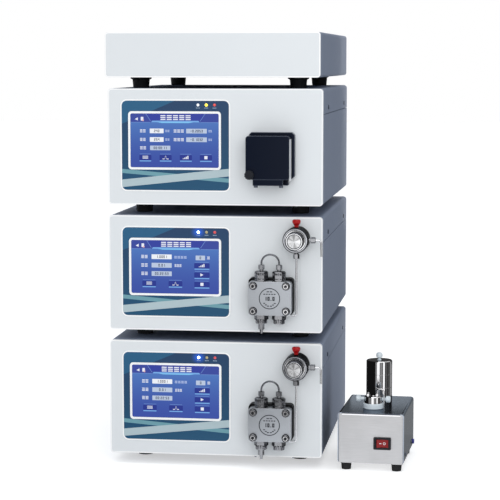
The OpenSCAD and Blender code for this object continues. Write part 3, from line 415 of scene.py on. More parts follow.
# -------------------------------------------------------------------- shapes


def spot(x, z, radius, turn):
    """A point at a radius and a turn round a centre."""
    return (x + radius * math.cos(turn), z + radius * math.sin(turn))


def disc(x, z, radius, steps=24):
    """Outline of a disc, seen from the front."""
    return [spot(x, z, radius, math.tau * k / steps) for k in range(steps)]


def round_rect(left, low, right, top, radius=0.0, steps=5):
    """Outline of a rectangle with round corners, seen from the front."""
    radius = min(radius, (right - left) / 2, (top - low) / 2)
    if radius <= 0:
        return [(left, low), (right, low), (right, top), (left, top)]
    near, far, under, over = left + radius, right - radius, low + radius, top - radius
    corners = ((far, under, -90), (far, over, 0), (near, over, 90), (near, under, 180))
    return [
        spot(x, z, radius, math.radians(start + 90 * step / steps))
        for x, z, start in corners
        for step in range(steps + 1)
    ]


def toothed(x, y, outer, inner, teeth):
    """Outline of a knurled ring with flat-topped teeth."""
    leans = ((-0.32, inner), (-0.2, outer), (0.2, outer), (0.32, inner))
    return [
        spot(x, y, radius, math.tau * (tooth + lean) / teeth)
        for tooth in range(teeth)
        for lean, radius in leans
    ]


class Piece:
    """A mesh that grows plate by plate, with a material slot for each finish."""

    def __init__(self, name):
        self.name = name
        self.mesh = bmesh.new()
        self.finishes = []

    def loop(self, points):
        """A new corner at each point."""
        return [self.mesh.verts.new(point) for point in points]

    def face(self, corners, finish):
        """A face through corners, in the slot of its finish."""
        if finish not in self.finishes:
            self.finishes.append(finish)
        self.mesh.faces.new(corners).material_index = self.finishes.index(finish)

    def bands(self, loops, finish):
        """Faces from each loop to the next. A loop may be a single corner."""
        for first, second in zip(loops, loops[1:]):
            for k in range(max(len(first), len(second))):
                here, there = (
                    (loop[k % len(loop)], loop[(k + 1) % len(loop)]) for loop in (first, second)
                )
                self.face(list(dict.fromkeys((*here, *reversed(there)))), finish)

    def closed(self, loops, finish):
        """A solid through loops of corners, with a face at both ends."""
        for end in (loops[0], loops[-1]):
            self.face(end, finish)
        self.bands(loops, finish)

    def plate(self, outline, front, depth, finish):
        """A plate from front to front + depth."""
        ends = (front, front + depth)
        self.closed([self.loop((x, y, z) for x, z in outline) for y in ends], finish)

    def slab(self, outline, low, high, finish):
        """A slab between two heights, whose outline holds X and Y."""
        self.closed([self.loop((x, y, z) for x, y in outline) for z in (low, high)], finish)

    def rim(self, outer, inner, front, depth, finish):
        """A flat rim between two outlines with as many points each."""
        back = front + depth
        edges = ((outer, front), (inner, front), (inner, back), (outer, back))
        loops = [self.loop((x, y, z) for x, z in outline) for outline, y in edges]
        self.bands([*loops, loops[0]], finish)

    def ring(self, x, z, outer, inner, front, depth, finish, steps=32):
        """A flat ring round a centre."""
        self.rim(disc(x, z, outer, steps), disc(x, z, inner, steps), front, depth, finish)

    def turned(self, profile, x, front, z, finish, steps):
        """A solid of revolution through points of radius and depth behind the front."""
        loops = []
        for radius, depth in profile:
            outline = disc(x, z, radius, steps) if radius else [(x, z)]
            loops.append(self.loop((across, front + depth, up) for across, up in outline))
        self.bands(loops, finish)

    def move(self, start, matrix):
        """Moves the corners that were added after the first ones."""
        for corner in list(self.mesh.verts)[start:]:
            corner.co = matrix @ corner.co

    def finish(self, body, slot, origin=(0, 0, 0)):
        """Closes the mesh, puts it in the scene and lets it ride on its body."""
        bmesh.ops.recalc_face_normals(self.mesh, faces=self.mesh.faces)
        bmesh.ops.translate(self.mesh, verts=self.mesh.verts, vec=-Vector(origin))
        data = bpy.data.meshes.new(self.name)
        self.mesh.to_mesh(data)
        self.mesh.free()
        for finish in self.finishes:
            data.materials.append(finish)
        piece = bpy.data.objects.new(self.name, data)
        piece.location = origin
        bpy.context.scene.collection.objects.link(piece)
        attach(piece, body)


# Strokes of a plain digit, as sides of a box: top, middle, low, then the four uprights
DIGIT_STROKES = {
    "0": "TLABCD", "1": "BD", "2": "TMLBC", "3": "TMLBD", "4": "MABD",
    "5": "TMLAD", "6": "TMLACD", "7": "TBD", "8": "TMLABCD", "9": "TMLABD",
}


def sign_bars(sign, left, low, width, height, pen):
    """Outlines of the strokes of a digit, a minus, a point or a colon."""
    right, top, middle = left + width, low + height, low + height / 2
    bars = {
        "T": (left, top - pen, right, top),
        "M": (left, middle - pen / 2, right, middle + pen / 2),
        "L": (left, low, right, low + pen),
        "A": (left, middle, left + pen, top),
        "B": (right - pen, middle, right, top),
        "C": (left, low, left + pen, middle),
        "D": (right - pen, low, right, middle),
        "U": (left, top - 2 * pen, right, top - pen),
    }
    strokes = {"-": "M", ".": "L", ":": "LU"}.get(sign) or DIGIT_STROKES[sign]
    return [round_rect(*bars[stroke]) for stroke in strokes]


def number_bars(text, centre, low, height, pen=None):
    """Outlines of a plain number round a centre."""
    pen = pen or height / 6
    space = 0.225 * height
    widths = [pen if sign in ".:" else 0.55 * height for sign in text]
    left = centre - (sum(widths) + space * (len(text) - 1)) / 2
    bars = []
    for sign, width in zip(text, widths):
        bars += sign_bars(sign, left, low, width, height, pen)
        left += width + space
    return bars


def inset(low, high, k, corner):
    """Outline of a box's front with round corners, drawn in by k from its edge."""
    return round_rect(low.x + k, low.z + k, high.x - k, high.z - k, corner - k)


# ------------------------------------------------------- cases, feet, screws


class CHROMATOGRAPH_OT_cases(bpy.types.Operator):
    """Paints the panels, the cases and the tray, with a painted highlight along the panels' edges"""

    bl_idname = "chromatograph.cases"
    bl_label = "Panels, cases and tray"

    def execute(self, context):
        paint = context.scene.chromatograph_paint
        panels = [unit + "_panel" for unit in UNITS] + ["tray_front"]
        cases = [unit + part for unit in UNITS for part in ("_chassis", "_cover")]
        finished(powder_coat("Pale powder coat", paint.panel, 0.42), *panels)
        finished(powder_coat("Slate powder coat", paint.case, 0.6, 0.15), *cases, "tray_pan")
        # Painted highlight: the panels' rounded edges and a narrow band just inside them are white.
        bright = powder_coat("Painted edge highlight", paint.edge, 0.35)
        rounding, thin = 0.4 * MM, 0.03 * MM
        softened(rounding, *panels, segments=3, edge=bright)
        for panel in panels:
            low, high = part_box(panel)
            highlight_band = Piece(panel + "_border")
            outer, inner = (
                inset(low, high, k, paint.corner) for k in (rounding, rounding + paint.highlight_band)
            )
            highlight_band.rim(outer, inner, low.y - thin, thin, bright)
            highlight_band.finish("base", "panel_white")
        return {"FINISHED"}


class CHROMATOGRAPH_OT_feet(bpy.types.Operator):
    """Gives the feet their rubber"""

    bl_idname = "chromatograph.feet"
    bl_label = "Feet"

    def execute(self, context):
        paint = context.scene.chromatograph_paint
        finished(rubber("Black rubber", paint.rubber), "stack_feet", "mixer_feet")
        return {"FINISHED"}


class CHROMATOGRAPH_OT_screws(bpy.types.Operator):
    """Finishes the screws of the covers and of the flow cell"""

    bl_idname = "chromatograph.screws"
    bl_label = "Small screws"

    def execute(self, context):
        dark = satin_steel("Blackened screws", srgb(96, 102, 114), 0.4)
        finished(dark, "cover_screws", "cell_screws")
        return {"FINISHED"}


# --------------------------------------------------------- films and displays


def film_print(name, settings, glow=None):
    """The printed film: slanted facets and stripes on a ground that turns from navy to sea, and, where
    a glow is given, a painted blue glow round that spot.
    """
    film = Finish(name, settings.navy, 0.3, specular_ior_level=0.2)
    place = film.axes("Generated")
    ground = film.mix(place["Z"], settings.sea, settings.navy)

    def above(start, rise):
        """1 over a slanted line that starts at a height and rises across the film."""
        line = film.math("MULTIPLY_ADD", place["X"], rise, start)
        return film.math("GREATER_THAN", place["Z"], line)

    ground = film.mix(above(0.74, 0.52), ground, settings.teal)
    # Stripes: height where they start, rise across the film, width and colour
    for start, rise, wide, colour in (
        (0.19, -0.10, 0.045, settings.mist),
        (0.03, 0.13, 0.085, settings.pale),
    ):
        under = film.math("SUBTRACT", 1.0, above(start + wide, rise))
        stripe = film.math("MULTIPLY", above(start, rise), under)
        ground = film.mix(stripe, ground, colour)
    film.shade(base_color=ground)
    # Painted light: round the pump's blue status light the film itself glows blue, though it is no
    # lamp.
    if glow:
        ends = {"i0": film.place(kind="Generated"), "i1": glow}
        far = film.node("VectorMath", {"operation": "DISTANCE"}, **ends).outputs["Value"]
        painted_glow = film.math("POWER", film.spread(far, 1, 0, 0, 0.08), 1.6)
        film.shade(emission_strength=painted_glow, emission_color=srgb(24, 92, 235))
    return film.bumped(film.noise(0.25 * MM), 0.005 * MM, 0.3)


class CHROMATOGRAPH_OT_films(bpy.types.Operator):
    """Prints the films with their marks, paints a white highlight round each film and a painted blue
    glow round the pump's blue light, and plates the frames round the displays
    """

    bl_idname = "chromatograph.films"
    bl_label = "Films and frames"

    def execute(self, context):
        settings = context.scene.chromatograph_film
        lights = solids_of("status_lights")
        # Where the blue status light sits on the pump film: the centre of the film's painted glow.
        low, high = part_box("lower_pump_overlay")
        light, size = middle_of(*lights[0]) - low, high - low
        glow = (light.x / size.x, 0, light.z / size.z)
        finished(film_print("Detector film", settings), "detector_overlay")
        pump_film = film_print("Pump film", settings, glow)
        finished(pump_film, *[pump + "_pump_overlay" for pump in PUMPS])
        finished(moulded("White frame", srgb(252, 253, 254), 0.3, 0.3), "screen_frames")
        # Painted highlight: a thin white rim round each film, where its edge catches the light.
        white = moulded("Film edge highlight", srgb(255, 255, 255), 0.3)
        mark = moulded("Film marks", srgb(150, 172, 196), 0.5)
        for row, unit in enumerate(UNITS):
            low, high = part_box(unit + "_overlay")
            face = low.y - settings.layer
            rim = Piece(unit + "_film_edge_highlight")
            outer, inner = (inset(low, high, k, settings.corner) for k in (-settings.rim, 0))
            rim.rim(outer, inner, face, high.y - face, white)
            rim.finish("base", "overlay_film")
            marks = Piece(unit + "_light_marks")
            for light_low, light_high in lights[3 * row : 3 * row + 3]:
                x, top = middle_of(light_low, light_high).x, light_low.z - 1.6 * MM
                # Three blocks in place of a word: left and right end, in millimetres
                for start, end in ((-2.2, -1.0), (-0.6, 0.5), (0.9, 2.2)):
                    left, right = x + start * MM, x + end * MM
                    outline = round_rect(left, top - 0.9 * MM, right, top, 0.1 * MM)
                    marks.plate(outline, face, settings.layer, mark)
            marks.finish("base", "overlay_film")
        return {"FINISHED"}


# Three equal bars that fill a cell in place of words, as shares of it: low and top
MARKS = ((0.78, 1), (0.39, 0.61), (0, 0.22))

# Outlines of the plain signs on the buttons, one unit high round their middle
TRACE = ((-1, -0.5), (-0.36, -0.5), (0, 0.5), (0.36, -0.5), (1, -0.5))
SIGNS = {
    "play": [((-0.5, -0.5), (0.5, 0), (-0.5, 0.5))],
    "stop": [round_rect(-0.5, -0.5, 0.5, 0.5)],
    "bars": [round_rect(-0.9, low, 0.9, low + 0.18) for low in (-0.45, -0.09, 0.27)],
    "steps": [round_rect(0.5 * k - 1, -0.5, 0.5 * k - 0.65, 0.28 * k - 0.3) for k in range(4)],
    "peak": [
        ((x, z - 0.11), (after_x, after_z - 0.11), (after_x, after_z + 0.11), (x, z + 0.11))
        for (x, z), (after_x, after_z) in zip(TRACE, TRACE[1:])
    ],
}


class DisplayPicture:
    """The picture on one display, drawn in shares of its width and height from the lower left."""

    def __init__(self, unit, settings, colours):
        low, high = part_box(unit + "_screen")
        margin = settings.margin
        self.left, self.low = low.x + margin, low.z + margin
        self.wide, self.high = high.x - low.x - 2 * margin, high.z - low.z - 2 * margin
        self.face = low.y
        self.layer = settings.proud
        self.colours = colours
        self.piece = Piece(unit + "_picture")

    def at(self, u, v):
        """The point at two shares, in metres."""
        return (self.left + u * self.wide, self.low + v * self.high)

    def put(self, outline, colour, level):
        """A flat shape on a level above the glass, from points in metres."""
        front = self.face - level * self.layer
        self.piece.plate(outline, front, self.layer, self.colours[colour])

    def shape(self, corners, colour, level):
        """A flat shape from corners in shares."""
        self.put([self.at(*corner) for corner in corners], colour, level)

    def box(self, u0, v0, u1, v1, colour, level, radius=0.0):
        """A rectangle with round corners."""
        self.put(round_rect(*self.at(u0, v0), *self.at(u1, v1), radius), colour, level)

    def marks(self, u0, u1, v, height, count, colour="white", level=3):
        """A row of plain blocks in place of words."""
        step = (u1 - u0) / count
        for k in range(count):
            left, right = u0 + (k + 0.1) * step, u0 + (k + 0.9) * step
            for low, high in MARKS:
                under, over = v + (low - 0.5) * height, v + (high - 0.5) * height
                self.box(left, under, right, over, colour, level)

    def value(self, u0, u1, v, half, text, colour):
        """A value box with its number, as far above as below its middle."""
        self.box(u0, v - half, u1, v + half, colour, 3, 0.4 * MM)
        x, z = self.at((u0 + u1) / 2, v)
        tall = 1.12 * half * self.high
        for outline in number_bars(text, x, z - tall / 2, tall):
            self.put(outline, "ink", 4)

    def button(self, u, v, width, sign):
        """A button with light edges above and below and a sign on it."""
        half = width / 2
        self.box(u - half, v - 0.055, u + half, v + 0.045, "button", 3, 1 * MM)
        self.box(u - half * 0.96, v - 0.078, u + half * 0.96, v - 0.058, "glow", 3, 0.3 * MM)
        self.box(u - half * 0.9, v + 0.058, u + half * 0.9, v + 0.066, "edge", 3)
        x, z = self.at(u, v)
        tall = 0.058 * self.high
        for outline in SIGNS[sign]:
            self.put([(x + tall * across, z + tall * up) for across, up in outline], "white", 4)

    def frame(self):
        """Ground, header and title, which every display has."""
        self.box(0, 0, 1, 1, "ground", 1, 1.9 * MM)
        self.box(0, 0.84, 1, 1, "header", 2)
        # Bands: low and top edge, the corners along them from the lower left, colour and level
        for low, top, u0, u1, u2, u3, colour, level in (
            (0.87, 1, 0.235, 0.785, 0.85, 0.175, "tab", 3),
            (0.84, 0.868, 0.235, 0.785, 0.77, 0.25, "glow", 3),
            (0.826, 0.842, 0.36, 0.66, 0.72, 0.3, "shine", 4),
            (0.86, 1, 0.227, 0.233, 0.178, 0.172, "edge", 4),
            (0.86, 1, 0.787, 0.793, 0.851, 0.845, "edge", 4),
            (0.834, 0.842, 0, 0.225, 0.225, 0, "edge", 4),
            (0.834, 0.842, 0.795, 1, 1, 0.795, "edge", 4),
        ):
            self.shape(((u0, low), (u1, low), (u2, top), (u3, top)), colour, level)
        self.marks(0.335, 0.69, 0.926, 0.09, 5, level=5)
        self.shape(((0.05, 0.895), (0.085, 0.872), (0.085, 0.928)), "white", 5)
        self.box(0.118, 0.868, 0.148, 0.938, "white", 5, 0.5 * MM)
        self.box(0.134, 0.86, 0.152, 0.89, "blush", 6, 0.4 * MM)

    def detector(self):
        """Wavelength and absorbance rows, the clock and four buttons."""
        for v, first, second in ((0.678, "240", "-0.2053"), (0.518, "254", "-0.1032")):
            self.marks(0.105, 0.175, v, 0.055, 2)
            self.value(0.22, 0.377, v, 0.043, first, "paper")
            self.marks(0.393, 0.445, v, 0.04, 2, "pale ink")
            self.marks(0.487, 0.61, v, 0.055, 3)
            self.value(0.633, 0.866, v, 0.043, second, "grey")
            self.marks(0.882, 0.925, v, 0.04, 2, "pale ink")
        self.marks(0.105, 0.18, 0.362, 0.055, 2)
        self.value(0.222, 0.452, 0.362, 0.042, "00:00:11", "grey")
        for u, sign in ((0.168, "bars"), (0.398, "peak"), (0.628, "steps"), (0.855, "stop")):
            self.button(u, 0.187, 0.138, sign)

    def pump(self):
        """Flow, pressure and clock rows and the buttons below and beside them."""
        rows = ((0.69, "1.0001", "paper"), (0.53, "0.01", "grey"), (0.372, "00:22:53", "grey"))
        for v, text, colour in rows:
            self.marks(0.11, 0.19, v, 0.06, 2)
            self.value(0.232, 0.462, v, 0.044, text, colour)
        self.marks(0.488, 0.635, 0.685, 0.045, 4, "pale ink")
        self.marks(0.492, 0.575, 0.528, 0.05, 3)
        self.value(0.735, 0.842, 0.6785, 0.0435, "0", "grey")
        self.marks(0.862, 0.9, 0.68, 0.05, 1)
        for v, sign in ((0.535, "steps"), (0.36, "play"), (0.182, "stop")):
            self.button(0.806, v, 0.175, sign)
        for u, sign in ((0.203, "bars"), (0.504, "peak")):
            self.button(u, 0.19, 0.158, sign)


def picture_ground(settings):
    """The lit ground of a display, lighter towards the top."""
    ground = lit("Display ground", 0.95)
    rise = ground.math("POWER", ground.axes("Generated")["Z"], 1.6)
    ground.shade(emission_color=ground.mix(rise, settings.ground, settings.sky))
    return ground.material


class CHROMATOGRAPH_OT_displays(bpy.types.Operator):
    """Draws the lit pictures on the displays"""

    bl_idname = "chromatograph.displays"
    bl_label = "Displays"

    def execute(self, context):
        settings = context.scene.chromatograph_display
        glass = moulded("Display glass", srgb(28, 32, 48), 0.12, 0.3)
        finished(glass, *[unit + "_screen" for unit in UNITS])
        shades = {
            "tab": srgb(52, 66, 158),
            "shine": srgb(132, 206, 248),
            "edge": srgb(112, 146, 208),
            "white": srgb(236, 240, 250),
            "pale ink": srgb(190, 204, 238),
            "blush": srgb(236, 190, 190),
        }
        for name in ("header", "glow", "button", "ink", "paper", "grey"):
            shades[name] = getattr(settings, name)
        colours = {name: lit_layer(name, colour) for name, colour in shades.items()}
        colours["ground"] = picture_ground(settings)
        for unit in UNITS:
            picture = DisplayPicture(unit, settings, colours)
            picture.frame()
            if unit == "detector":
                picture.detector()
            else:
                picture.pump()
            picture.piece.finish("base", "screen_glass")
        return {"FINISHED"}


class CHROMATOGRAPH_OT_lights(bpy.types.Operator):
    """Lights the status lights, each in its own colour"""

    bl_idname = "chromatograph.lights"
    bl_label = "Status lights"

    def execute(self, context):
        low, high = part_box("status_lights")
        third, row = (high.x - low.x) / 3, 60 * MM
        lens = Finish("Status lens", srgb(120, 120, 120), 0.25, coat_weight=0.6)
        place = lens.axes()
        on_right = lens.math("GREATER_THAN", place["X"], high.x - third)
        past_left = lens.math("GREATER_THAN", place["X"], low.x + third)
        on_detector = lens.math("GREATER_THAN", place["Z"], high.z - row)

        def three(left, centre, right):
            """Colours of the lights of one row."""
            return lens.mix(on_right, lens.mix(past_left, left, centre), right)

        pump = three(srgb(196, 222, 255), srgb(150, 140, 104), srgb(190, 66, 70))
        detector = three(srgb(226, 228, 232), srgb(255, 226, 60), srgb(196, 62, 58))
        colour = lens.mix(on_detector, pump, detector)
        pump_lit = lens.math("MULTIPLY_ADD", past_left, -5.4, 6.0)
        middle = lens.math("SUBTRACT", past_left, on_right)
        detector_lit = lens.math("MULTIPLY_ADD", middle, 1.2, 0.7)
        level = lens.node("Mix", i0=on_detector, i2=pump_lit, i3=detector_lit).outputs[0]
        lens.shade(emission_color=colour, emission_strength=level, base_color=colour)
        finished(lens.material, "status_lights")
        return {"FINISHED"}


# ------------------------------------------------ pump heads and purge valves


def head_badge(pump, ink):
    """Plain marks inside the ring on a pump head: a number between rows of dashes."""
    low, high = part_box(pump + "_pump_head")
    middle = middle_of(low, high)
    x, z, thin = middle.x, middle.z, 0.05 * MM
    # Dashes: how far across and up from the middle, and half their length, in millimetres
    pairs = ((1.9, 8.2, 1.5), (1.8, -8.9, 1.3), (6.3, -5.6, 1.2), (4.3, -7.5, 1.2))
    dashes = [(3.1 * k, 5.3, 1.1) for k in range(-2, 3)]
    dashes += [(side * across, up, half) for across, up, half in pairs for side in (-1, 1)]
    outlines = number_bars("10.0", x, z - 2.5 * MM, 4.8 * MM, 1.1 * MM)
    for across, up, half in dashes:
        left, bottom = x + (across - half) * MM, z + (up - 0.55) * MM
        right, top = left + 2 * half * MM, bottom + 1.1 * MM
        outlines.append(round_rect(left, bottom, right, top, 0.3 * MM))
    badge = Piece(pump + "_head_badge")
    for outline in outlines:
        badge.plate(outline, low.y - thin, thin, ink)
    badge.ring(x, z, 12.7 * MM, 11.7 * MM, low.y - thin, thin, ink, 64)
    badge.finish("base", "dark_screw")


def screw_rings(dark, bright):
    """Rings of painted shade and of painted highlight on the clamp screws, a disc of painted shade deep
    in each socket, and a ring of painted shadow round each screw on the head.
    """
    face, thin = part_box("lower_pump_head")[0].y, 0.05 * MM
    rings = Piece("clamp_screw_rings")
    for low, high in solids_of("head_screws"):
        middle = middle_of(low, high)
        x, z, radius = middle.x, middle.z, (high.x - low.x) / 2
        # Rings: outer and inner radius, front, finish. Painted shadow round the screw on the head, then
        # painted shade and painted highlight on the screw's face.
        for outer, inner, front, finish in (
            (radius + 0.7 * MM, radius + 0.02 * MM, face, dark),
            (0.92 * radius, 0.7 * radius, low.y, dark),
            (0.7 * radius, 0.5 * radius, low.y, bright),
        ):
            rings.ring(x, z, outer, inner, front - thin, thin, finish)
        # A disc of painted shade at the bottom of the socket.
        rings.plate(disc(x, z, 0.36 * radius, 6), low.y + 1.6 * MM, thin, dark)
    rings.finish("base", "dark_screw")


def valve_bands(steel, dark):
    """Knurled bands, and dark toothed bands of painted shade, round the hexagons of the check valves.
    """
    bands = Piece("check_valve_bands")
    tops = [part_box(pump + "_pump_head")[1].z for pump in PUMPS]
    for low, high in solids_of("check_valves"):
        middle = middle_of(low, high)
        # Bands: from and to as shares of the valve's height, the radius in millimetres, the finish
        # The bands in the dark finish are painted shade; those in steel are knurls.
        if any(abs(low.z - top) < 1 * MM for top in tops):
            spans = ((0.62, 0.78, 8.05, steel), (0.26, 0.3, 7.9, dark), (0.8, 0.84, 7.9, dark))
        else:
            spans = ((0.12, 0.36, 6.85, steel), (0.4, 0.46, 6.7, dark), (0.5, 0.56, 8.4, dark))
        for start, end, radius, finish in spans:
            lower, upper = (low.z + share * (high.z - low.z) for share in (start, end))
            outline = toothed(middle.x, middle.y, radius * MM, (radius - 0.9) * MM, 16)
            bands.slab(outline, lower, upper, finish)
    bands.finish("base", "bright_steel")


class CHROMATOGRAPH_OT_heads(bpy.types.Operator):
    """Finishes the pump heads, their valves, screws and tubes"""

    bl_idname = "chromatograph.heads"
    bl_label = "Pump heads"

    def execute(self, context):
        paint = context.scene.chromatograph_paint
        heads = [pump + "_pump_head" for pump in PUMPS]
        finished(satin_steel("Blasted head steel", paint.satin), *heads)
        # Painted highlight: the heads' rounded edges are a brighter steel.
        softened(0.7 * MM, *heads, edge=satin_steel("Painted head edge highlight", srgb(206, 208, 212), 0.3))
        mounts = [pump + "_head_mount" for pump in PUMPS]
        finished(moulded("Black mount", srgb(6, 7, 11), 0.5, 0.15), *mounts)
        turned = polished_steel("Turned fittings", paint.valve, 0.2, 2 * MM, 0.3)
        finished(turned, "check_valves", "tube_nuts", "inlet_fittings", "head_screws")
        tubes = polished_steel("Drawn tube", srgb(216, 217, 220), 0.14, 3 * MM, 0.15)
        finished(tubes, "link_tubes", "outlet_tubes")
        # Painted shade: the loop tubes are a darker copy of the same drawn tube.
        shaded_tube = polished_steel("Drawn tube in painted shade", srgb(112, 114, 120), 0.14, 3 * MM, 0.2)
        finished(shaded_tube, "loop_tubes")
        ink = moulded("Engraving", srgb(40, 42, 48), 0.6, 0.15)
        for pump in PUMPS:
            head_badge(pump, ink)
        # Painted shade, for the rings round the clamp screws and the dark bands on the check valves.
        shadow = moulded("Shadow groove", srgb(34, 36, 42), 0.5, 0.2)
        screw_rings(shadow, polished_steel("Painted highlight ring", paint.bright, 0.2, 2 * MM))
        knurl = polished_steel("Knurled steel", srgb(126, 127, 132), 0.22, 2 * MM, 0.3)
        valve_bands(knurl, shadow)
        return {"FINISHED"}


class CHROMATOGRAPH_OT_purge_valves(bpy.types.Operator):
    """Finishes the purge valves: turned rings and a turned face on each, with a painted sheen, rings of
    painted highlight and of painted shade, and a painted dark reflection on body and cap
    """

    bl_idname = "chromatograph.purge_valves"
    bl_label = "Purge valves"

    def execute(self, context):
        paint = context.scene.chromatograph_paint
        bodies = [pump + "_valve_body" for pump in PUMPS]
        # Painted reflection: the polished body and cap are dark, standing in for the dark surroundings
        # they mirror.
        finished(polished_steel("Valve body in painted dark reflection", srgb(46, 49, 56), 0.25, 4 * MM, 0.2), *bodies)
        finished(polished_steel("Sensor cap", srgb(70, 73, 80), 0.25, 4 * MM, 0.3), "valve_caps")
        knobs = [pump + "_valve_knob" for pump in PUMPS]
        finished(moulded("Red knob", paint.red, 0.3, 0.3), *knobs)
        # The turned ring and face carry a painted sheen; the bright rims are painted highlight, the
        # dark rings painted shade.
        ring_steel = turned_steel("Turned ring", srgb(176, 178, 184), 0.2, 0.3)
        face_steel = turned_steel("Turned face", srgb(226, 227, 229), 0.26, 0.6)
        rim_highlight = turned_steel("Painted rim highlight", srgb(232, 233, 235), 0.16)
        painted_shade = moulded("Valve groove", srgb(22, 24, 28), 0.5, 0.2)
        cap_front, thin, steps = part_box("valve_caps")[0].y, 0.06 * MM, 96
        for pump in PUMPS:
            low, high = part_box(pump + "_valve_body")
            middle = middle_of(low, high)
            x, z = middle.x, middle.z
            face = Piece(pump + "_valve_face")
            # The dark rings are painted shade, round the face's edge and round the cap.
            # Rings: outer and inner radius in millimetres
            for outer, inner, finish in (
                (14.9, 14.2, painted_shade), (14.1, 12.7, ring_steel), (12.1, 11.1, rim_highlight),
                (11.0, 10.5, painted_shade),
            ):
                face.ring(x, z, outer * MM, inner * MM, low.y - thin, thin, finish, steps)
            face.finish("base", "satin_steel", (x, low.y, z))
            cap = Piece(pump + "_cap_face")
            # The cap's turned face: radius and depth in millimetres
            profile = ((0, 0.34), (7.7, 0.34), (7.9, 0.39), (7.9, 0.5), (0, 0.5))
            profile = [(radius * MM, depth * MM) for radius, depth in profile]
            cap.turned(profile, x, cap_front, z, face_steel, steps)
            cap.ring(x, z, 9.6 * MM, 8.8 * MM, cap_front - 0.01 * MM, thin, rim_highlight, steps)
            cap.finish("base", "satin_steel", (x, cap_front, z))
        return {"FINISHED"}


class CHROMATOGRAPH_OT_flow_cell(bpy.types.Operator):
    """Finishes the flow cell's housing and lock, with a painted highlight on the housing's edges and on
    the cover's right side
    """

    bl_idname = "chromatograph.flow_cell"
    bl_label = "Flow cell"

    def execute(self, context):
        paint = context.scene.chromatograph_paint
        housing = ("cell_base", "cell_cover")
        finished(moulded("Gloss black", paint.black, 0.24, 0.1), *housing)
        finished(moulded("Lock knob", srgb(14, 18, 28), 0.3, 0.25), "cell_lock")
        # Painted highlight: the housing's rounded edges are a lighter black.
        softened(0.6 * MM, *housing, edge=moulded("Painted black edge highlight", srgb(58, 66, 82), 0.25, 0.4))
        # Painted highlight: a pale strip on the cover's right side, where light catches it.
        low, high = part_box("cell_cover")
        highlight_strip = Piece("cell_side_highlight")
        outline = round_rect(high.x, low.y + 1.5 * MM, high.x + 0.2 * MM, high.y - 1 * MM)
        pale = moulded("Pale side trim", srgb(226, 228, 232), 0.3, 0.4)
        highlight_strip.slab(outline, low.z + 5 * MM, high.z - 4 * MM, pale)
        highlight_strip.finish("base", "white_plastic")
        return {"FINISHED"}


# -------------------------------------------------------- mixer and switches


def fold_lines():
    """The shadow and the highlight where the mixer's case folds over its front plate."""
    joint = next(joint for joint in frame["joints"] if joint["name"] == "mixer_switch_rock")
    place = Vector(joint["pos_m"])
    lines = Piece("mixer_front_lines")
    left, right, thin = -49 * MM, 21.5 * MM, 0.04 * MM
    # Node, how far below its top the line ends and starts, the line's front, its finish
    for node, end, start, front, finish in (
        ("mixer_case", 1.25, 0.1, -2.24, satin_steel("Fold shadow", srgb(70, 76, 86), 0.4)),
        ("mixer_base", 1.5, 0.4, -1.24, satin_steel("Fold highlight", srgb(242, 242, 244), 0.3)),
    ):
        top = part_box(node)[1].z - place.z
        outline = round_rect(left, top - end * MM, right, top - start * MM)
        lines.plate(outline, front * MM, thin, finish)
    lines.move(0, Matrix.Translation(place) @ Matrix.Rotation(-MIXER_TURN, 4, "Z"))
    lines.finish("base", "satin_steel")


class CHROMATOGRAPH_OT_mixer(bpy.types.Operator):
    """Finishes the mixer: bright case, brushed front, steel housings and white fittings"""

    bl_idname = "chromatograph.mixer"
    bl_label = "Mixer"

    def execute(self, context):
        paint = context.scene.chromatograph_paint
        cool = (0.93, 1, 1.07)
        case = polished_steel("Mirror case", paint.mixer_case, 0.12, 25 * MM, 0.46, cool)
        finished(case, "mixer_case")
        finished(brushed_steel("Brushed front", paint.mixer_front, 0.38), "mixer_base")
        housing = polished_steel("Polished housing", paint.bright, 0.03)
        finished(housing, "mixer_can", "mixer_chamber")
        finished(polished_steel("Thin tube", paint.bright, 0.15, 2 * MM), "mixer_tube")
        white = moulded("White fittings", paint.white, 0.35)
        finished(white, "mixer_can_plug", "mixer_collar", "mixer_ports")
        finished(moulded("Blue socket", srgb(48, 52, 150), 0.25, 0.4), "mixer_jack")
        softened(0.68 * MM, "mixer_case", edge=satin_steel("Sheet edge", srgb(160, 160, 163), 0.35))
        # Painted highlight: the rounded fold of the front plate is near white.
        softened(1.1 * MM, "mixer_base", edge=satin_steel("Painted fold highlight", srgb(246, 247, 249), 0.3))
        fold_lines()
        return {"FINISHED"}


def rocker_signs(joint, turn, facing, finish):
    """The plain on and off signs on a rocker's two wings."""
    tilt, slope, thin = math.radians(7), math.radians(8.4), 0.06 * MM
    rocker = Matrix.Translation(Vector(joint["pos_m"]))
    rocker = rocker @ Matrix.Diagonal((1, facing, 1, 1)) @ Matrix.Rotation(tilt - turn, 4, "Z")

    def wing(across, out, lean):
        """Where a sign lies on its wing."""
        place = Matrix.Translation((across * MM, out * MM, 0))
        return rocker @ place @ Matrix.Rotation(lean, 4, "Z")

    signs = Piece(joint["child"] + "_signs")
    signs.plate(round_rect(-1.3 * MM, -0.4 * MM, 1.3 * MM, 0.4 * MM), -thin, thin, finish)
    signs.move(0, wing(-2.4, -2.065, slope))
    start = len(signs.mesh.verts)
    signs.ring(0, 0, 1.6 * MM, 1.1 * MM, -thin, thin, finish)
    signs.move(start, wing(2.3, -2.05, -slope))
    signs.finish(joint["child"], "white_plastic")


